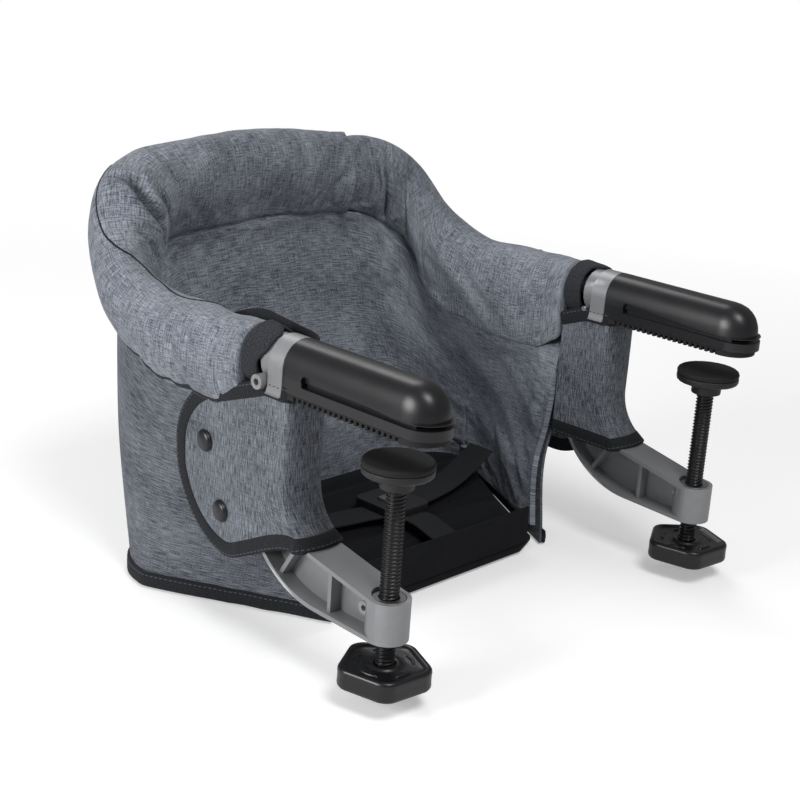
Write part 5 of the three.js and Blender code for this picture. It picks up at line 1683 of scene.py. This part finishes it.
class SEAT_OT_grips(bpy.types.Operator):
    """Makes the moulded grips with their slots, and the toothed soles."""

    bl_idname = "seat.grips"
    bl_label = "Grips and soles"

    def execute(self, context):
        for name, side in SIDES.items():
            slots = [self.slot(side * ARM_HALF, face) for face in SIDES.values()]
            dressed_copy(f"{name}_grip_cover", f"{name}_grip_moulding", MOULDED_ROUND, "grip", "seat",
                         slots)
            dressed_copy(f"{name}_grip_sole", f"{name}_grip_sole_rubber", SOLE_ROUND, "rubber", "seat")
        return {"FINISHED"}

    def slot(self, middle_x, face):
        """A cutter for the side slot, which is deep and round at its rear and narrows to the front."""
        ends = ((SLOT_REAR, SLOT_REAR_RADIUS, QUARTER), (SLOT_FRONT, SLOT_FRONT_RADIUS, -QUARTER))
        outline = [(y + radius * math.sin(turn), z + radius * math.cos(turn))
                   for (y, z), radius, facing_turn in ends
                   for turn in np.linspace(facing_turn - QUARTER, facing_turn + QUARTER, 12)]
        outer = (GRIP_HIGH.x - GRIP_LOW.x) / 2
        rings = [[(middle_x + face * (outer + reach), y, z) for y, z in outline]
                 for reach in (-SLOT_DEPTH, SLOT_DEPTH)]
        return grid_piece("slot", np.array(rings), closed=True, capped=True)


# Clamp
class SEAT_OT_clamp_arms(bpy.types.Operator):
    """Makes the cast clamp arms, their threaded inserts and their pins."""

    bl_idname = "seat.clamp_arms"
    bl_label = "Clamp arms"

    def execute(self, context):
        for name in SIDES:
            body = f"{name}_arm"
            dressed_copy(f"{name}_clamp_arm", f"{name}_clamp_arm_casting", sizes().edge_round, "cast", body)
            dressed_copy(f"{name}_screw_insert", f"{name}_screw_insert_bush", PIN_ROUND, "insert", body)
            for pin in (f"{name}_collar_pin", f"{name}_insert_pin"):
                dressed_copy(pin, f"{pin}_rod", PIN_ROUND, "pin", body)
        return {"FINISHED"}


KNOB_FIRST_CORNER = math.radians(12)
# Rings of the knob in mm: reach of the corners' centres, corner radius, and level above the foot or the rim
KNOB_FOOT_RINGS = (
    (0, 6, 1.2), (0, 12, 1.2), (10, 9, 0.6), (18, 8.6, 0), (19.4, 9.2, 0), (19.5, 10.4, 0.5),
    (19.5, 11.1, 1.4), (19.5, 11.4, 2.8), (19.4, 11.3, 6),
)
KNOB_RIM_RINGS = (
    (19.4, 11.3, -5), (19.5, 11.4, -3), (19.5, 11.2, -1.7), (19.5, 10.6, -0.6), (19.5, 9.5, -0.1),
    (19.4, 8.4, 0), (19.3, 7.4, -0.3), (19.2, 6.6, -1.1), (19, 6, -1.6), (17, 5, -1.8), (9, 8.6, -2),
    (0, 15.5, -2.2), (0, 12.4, -2.2), (0, 11.3, -1.8), (0, 10.6, -0.9), (0, 9.8, -0.5), (0, 7.8, -0.5),
    (0, 6.9, -1.2), (0, 6.8, -6),
)
# Plain tip of the screw, its shoulder, and the length over which the thread fades in and out
TIP_LENGTH = 8 * MM
TIP_RADIUS = 5 * MM
TIP_END_RADIUS = 3.8 * MM
TIP_CHAMFER = 1.2 * MM
SHOULDER_ROUND = 0.6 * MM
SHOULDER_RISE = 0.4 * MM
THREAD_RUN_OUT = 2 * MM
THREAD_FLANK_SHARE = 0.34  # of the pitch, from the crest to the root
# Raised arcs on the knob: reach, level below the rim, section, half their turn, and share of a sloped end
ARC_REACH = 18.5 * MM
ARC_DROP = 2.3 * MM
ARC_HALF_WIDTH = 1.3 * MM
ARC_HEIGHT = 1.5 * MM
ARC_HALF_TURN = 0.36
ARC_END_SHARE = 0.12


class SEAT_OT_clamp_screws(bpy.types.Operator):
    """Makes the threaded rods, the hand knobs and the pressure pads."""

    bl_idname = "seat.clamp_screws"
    bl_label = "Clamp screws"

    def execute(self, context):
        for name in SIDES:
            self.rod(name)
            self.knob(name)
            dressed_copy(f"{name}_pad_facing", f"{name}_pad_facing_rubber", MOULDED_ROUND, "pad_rubber",
                         f"{name}_pad")
            dressed_copy(f"{name}_pad_plate", f"{name}_pad_plate_moulding", MOULDED_ROUND, "pad_plate",
                         f"{name}_pad")
        return {"FINISHED"}

    def rod(self, name):
        """A rod with a rolled thread, and the plain tip that turns in the pressure pad."""
        low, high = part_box(f"{name}_clamp_screw")
        radius = (high.x - low.x) / 2
        pitch, depth = sizes().thread_pitch, sizes().thread_depth
        top = high.z - TIP_LENGTH
        sides = 40
        heights = np.arange(low.z, top, pitch / 10)[:, None]
        turns = even_turns(sides)
        phase = (heights / pitch - turns / TURN) % 1
        groove = ease((0.5 - np.abs(phase - 0.5)) / THREAD_FLANK_SHARE)
        run_out = ease((top - heights) / THREAD_RUN_OUT) * ease((heights - low.z) / THREAD_RUN_OUT)
        thread = turned(radius - depth * groove * run_out, turns, heights)
        tip = np.array([(radius, top), (radius - SHOULDER_ROUND, top + SHOULDER_RISE),
                        (TIP_RADIUS, top + SHOULDER_RISE), (TIP_RADIUS, high.z - TIP_CHAMFER),
                        (TIP_END_RADIUS, high.z)])
        points = np.concatenate([thread, turned(tip[:, :1], turns, tip[:, 1:])])
        points[..., :2] += np.array(SCREW[name][:2])
        rod = grid_piece(f"{name}_clamp_screw_thread", points, closed=True, capped=True)
        smooth(rod, 60)
        dress(rod, finish_of("screw"), f"{name}_screw", [f"{name}_clamp_screw"])

    def knob(self, name):
        """A five-sided hand knob: soft sides, a dished top with raised arcs, and a hub round the rod."""
        low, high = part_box(f"{name}_screw_knob")
        centre = Vector((*SCREW[name][:2], 0))
        steps = 26
        corner_turns = KNOB_FIRST_CORNER + even_turns(5)
        spread_turns = np.linspace(-math.pi / 5, math.pi / 5, steps + 1)[:-1]
        levels = [(low.z, ring) for ring in KNOB_FOOT_RINGS] + [(high.z, ring) for ring in KNOB_RIM_RINGS]
        rings = []
        for datum, (reach, radius, level) in levels:
            ring = [(reach * MM * math.cos(corner) + radius * MM * math.cos(corner + turn),
                     reach * MM * math.sin(corner) + radius * MM * math.sin(corner + turn),
                     datum + level * MM)
                    for corner in corner_turns for turn in spread_turns]
            rings.append(np.array(ring) + np.array(centre))
        knob = grid_piece(f"{name}_knob_moulding", np.array(rings), closed=True, capped=True)
        smooth(knob, 40)
        arcs = [self.arc(centre, high.z, corner + math.pi / 5) for corner in corner_turns]
        material = finish_of("knob")
        knob.data.materials.append(material)
        knob = join_pieces(f"{name}_knob_moulding", [knob, *arcs])
        dress(knob, material, f"{name}_screw", [f"{name}_screw_knob"])

    def arc(self, centre, rim, middle_turn):
        """A short raised arc on the knob's top."""
        turns = np.linspace(middle_turn - ARC_HALF_TURN, middle_turn + ARC_HALF_TURN, 24)
        out = turned(1, turns, 0)
        up = np.broadcast_to(UP, out.shape)
        centres = np.array(centre) + out * ARC_REACH + up * (rim - ARC_DROP)
        full = ease((0.5 - np.abs(np.linspace(-0.5, 0.5, 24))) / ARC_END_SHARE)[:, None]
        shares = [(-1, 0), (-0.8, 0.7), (-0.4, 1), (0.4, 1), (0.8, 0.7), (1, 0)]
        section = np.array(shares) * (ARC_HALF_WIDTH, ARC_HEIGHT)
        return swept("arc", centres, out, up * (0.3 + 0.7 * full), section)


class SEAT_OT_frame_tube(bpy.types.Operator):
    """Gives the rim tube its steel."""

    bl_idname = "seat.frame_tube"
    bl_label = "Frame tube"

    def execute(self, context):
        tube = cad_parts["frame_tube"]
        tube.data.materials.clear()
        tube.data.materials.append(finish_of("steel"))
        return {"FINISHED"}


# Stage
CAMERA_PLACE = (-0.8359, -0.7064, 0.3187)
CAMERA_AXES = ((0.70132, -0.70989, 0.06494), (0.17778, 0.26239, 0.94844), (-0.69033, -0.65361, 0.31022))
CAMERA_LENS_MM = 72.87
SENSOR_MM = 36
CAMERA_SHIFT = 0.0096
FLOOR_RADIUS = 1.6
FLOOR_DROP = 1.5 * MM
# Distances from the middle between which the floor fades out
FLOOR_FADE = (0.55, 1.3)
FLOOR_GLOW = 0.3
WORLD_LIGHT = 0.23
WORLD_GLOSS = 0.22
LAMP_AIM = (0, 0.06, -0.03)
# Name, place, size and power of each lamp
LAMPS = (
    ("Key", (-0.35, -0.95, 1.6), 0.8, 18),
    ("Left", (-1.7, 0.35, 0.5), 0.8, 24),
    ("Back", (0.6, 1.2, 1.5), 1.0, 9),
)


class SEAT_OT_stage(bpy.types.Operator):
    """Makes the camera, the pale floor and the soft studio light."""

    bl_idname = "seat.stage"
    bl_label = "Stage"

    def execute(self, context):
        self.camera()
        self.floor()
        self.lights()
        context.scene.view_settings.view_transform = "Standard"
        return {"FINISHED"}

    def camera(self):
        data = bpy.data.cameras.new("Camera")
        data.lens, data.sensor_width, data.shift_x = CAMERA_LENS_MM, SENSOR_MM, CAMERA_SHIFT
        camera = bpy.data.objects.new("Camera", data)
        columns = [Vector(axis).normalized() for axis in CAMERA_AXES]
        camera.matrix_world = Matrix.Translation(CAMERA_PLACE) @ Matrix(columns).transposed().to_4x4()
        bpy.context.scene.collection.objects.link(camera)
        bpy.context.scene.camera = camera

    def floor(self):
        """A pale disc that keeps the object's shadow and fades into the white backdrop."""
        sides = 96
        corners = turned(FLOOR_RADIUS, even_turns(sides), SHELL_LOW - FLOOR_DROP)
        mesh = bpy.data.meshes.new("Floor")
        mesh.from_pydata(corners.tolist(), [], [tuple(range(sides))])
        floor = link_piece("Floor", mesh)
        material = bpy.data.materials.new("Floor")
        material.use_nodes = True
        tree = material.node_tree
        shader = tree.nodes["Principled BSDF"]
        shader.inputs["Base Color"].default_value = (*colours().floor, 1)
        shader.inputs["Roughness"].default_value = 0.9
        shader.inputs["Specular IOR Level"].default_value = 0.1
        shader.inputs["Emission Color"].default_value = (1, 1, 1, 1)
        seen = tree.nodes.new("ShaderNodeLightPath").outputs["Is Camera Ray"]
        tree.links.new(times(tree, seen, FLOOR_GLOW), shader.inputs["Emission Strength"])
        place = tree.nodes.new("ShaderNodeVectorMath")
        place.operation = "LENGTH"
        tree.links.new(tree.nodes.new("ShaderNodeTexCoord").outputs["Object"], place.inputs[0])
        tree.links.new(spread(tree, place.outputs["Value"], *FLOOR_FADE, 1.0, 0.0), shader.inputs["Alpha"])
        floor.data.materials.append(material)

    def lights(self):
        world = bpy.data.worlds.new("Studio")
        world.use_nodes = True
        tree = world.node_tree
        background = tree.nodes["Background"]
        path = tree.nodes.new("ShaderNodeLightPath")
        white = value_of(tree, "MAXIMUM", path.outputs["Is Camera Ray"], path.outputs["Is Transmission Ray"])
        seen = spread(tree, white, 0, 1, WORLD_LIGHT, 1.0)
        gloss = times(tree, path.outputs["Is Glossy Ray"], WORLD_GLOSS)
        background.inputs["Color"].default_value = (1, 1, 1, 1)
        tree.links.new(value_of(tree, "MAXIMUM", seen, gloss), background.inputs["Strength"])
        bpy.context.scene.world = world
        for name, place, size, power in LAMPS:
            data = bpy.data.lights.new(name, "AREA")
            data.shape, data.size, data.energy = "DISK", size, power
            lamp = bpy.data.objects.new(name, data)
            lamp.location = place
            lamp.rotation_euler = (Vector(LAMP_AIM) - Vector(place)).to_track_quat("-Z", "Y").to_euler()
            bpy.context.scene.collection.objects.link(lamp)


OPERATORS = (
    SEAT_OT_stage, SEAT_OT_frame_tube, SEAT_OT_rim_sleeve, SEAT_OT_outer_shell, SEAT_OT_inner_lining,
    SEAT_OT_seat_base, SEAT_OT_side_flaps, SEAT_OT_tube_cuffs, SEAT_OT_harness, SEAT_OT_grips,
    SEAT_OT_clamp_arms, SEAT_OT_clamp_screws,
)


class SEAT_PT_sidebar(bpy.types.Panel):
    """Lists the steps that dress the seat, with the sizes and colours that they use."""

    bl_idname = "SEAT_PT_sidebar"
    bl_label = "Table Seat"
    bl_space_type = "VIEW_3D"
    bl_region_type = "UI"
    bl_category = "Table Seat"

    def draw(self, context):
        for operator in OPERATORS:
            self.layout.operator(operator.bl_idname)
        for owner, group in ((sizes(), SeatSizes), (colours(), SeatColours)):
            for name in group.__annotations__:
                self.layout.prop(owner, name)


CLASSES = (SeatSizes, SeatColours, *OPERATORS, SEAT_PT_sidebar)


def register():
    for cls in CLASSES:
        bpy.utils.register_class(cls)
    bpy.types.Scene.seat_sizes = bpy.props.PointerProperty(type=SeatSizes)
    bpy.types.Scene.seat_colours = bpy.props.PointerProperty(type=SeatColours)


def unregister():
    del bpy.types.Scene.seat_colours
    del bpy.types.Scene.seat_sizes
    for cls in reversed(CLASSES):
        bpy.utils.unregister_class(cls)


def main():
    register()
    for operator in OPERATORS:
        getattr(bpy.ops.seat, operator.bl_idname.split(".")[1])()
    bpy.context.view_layer.update()


if __name__ == "__main__":
    main()
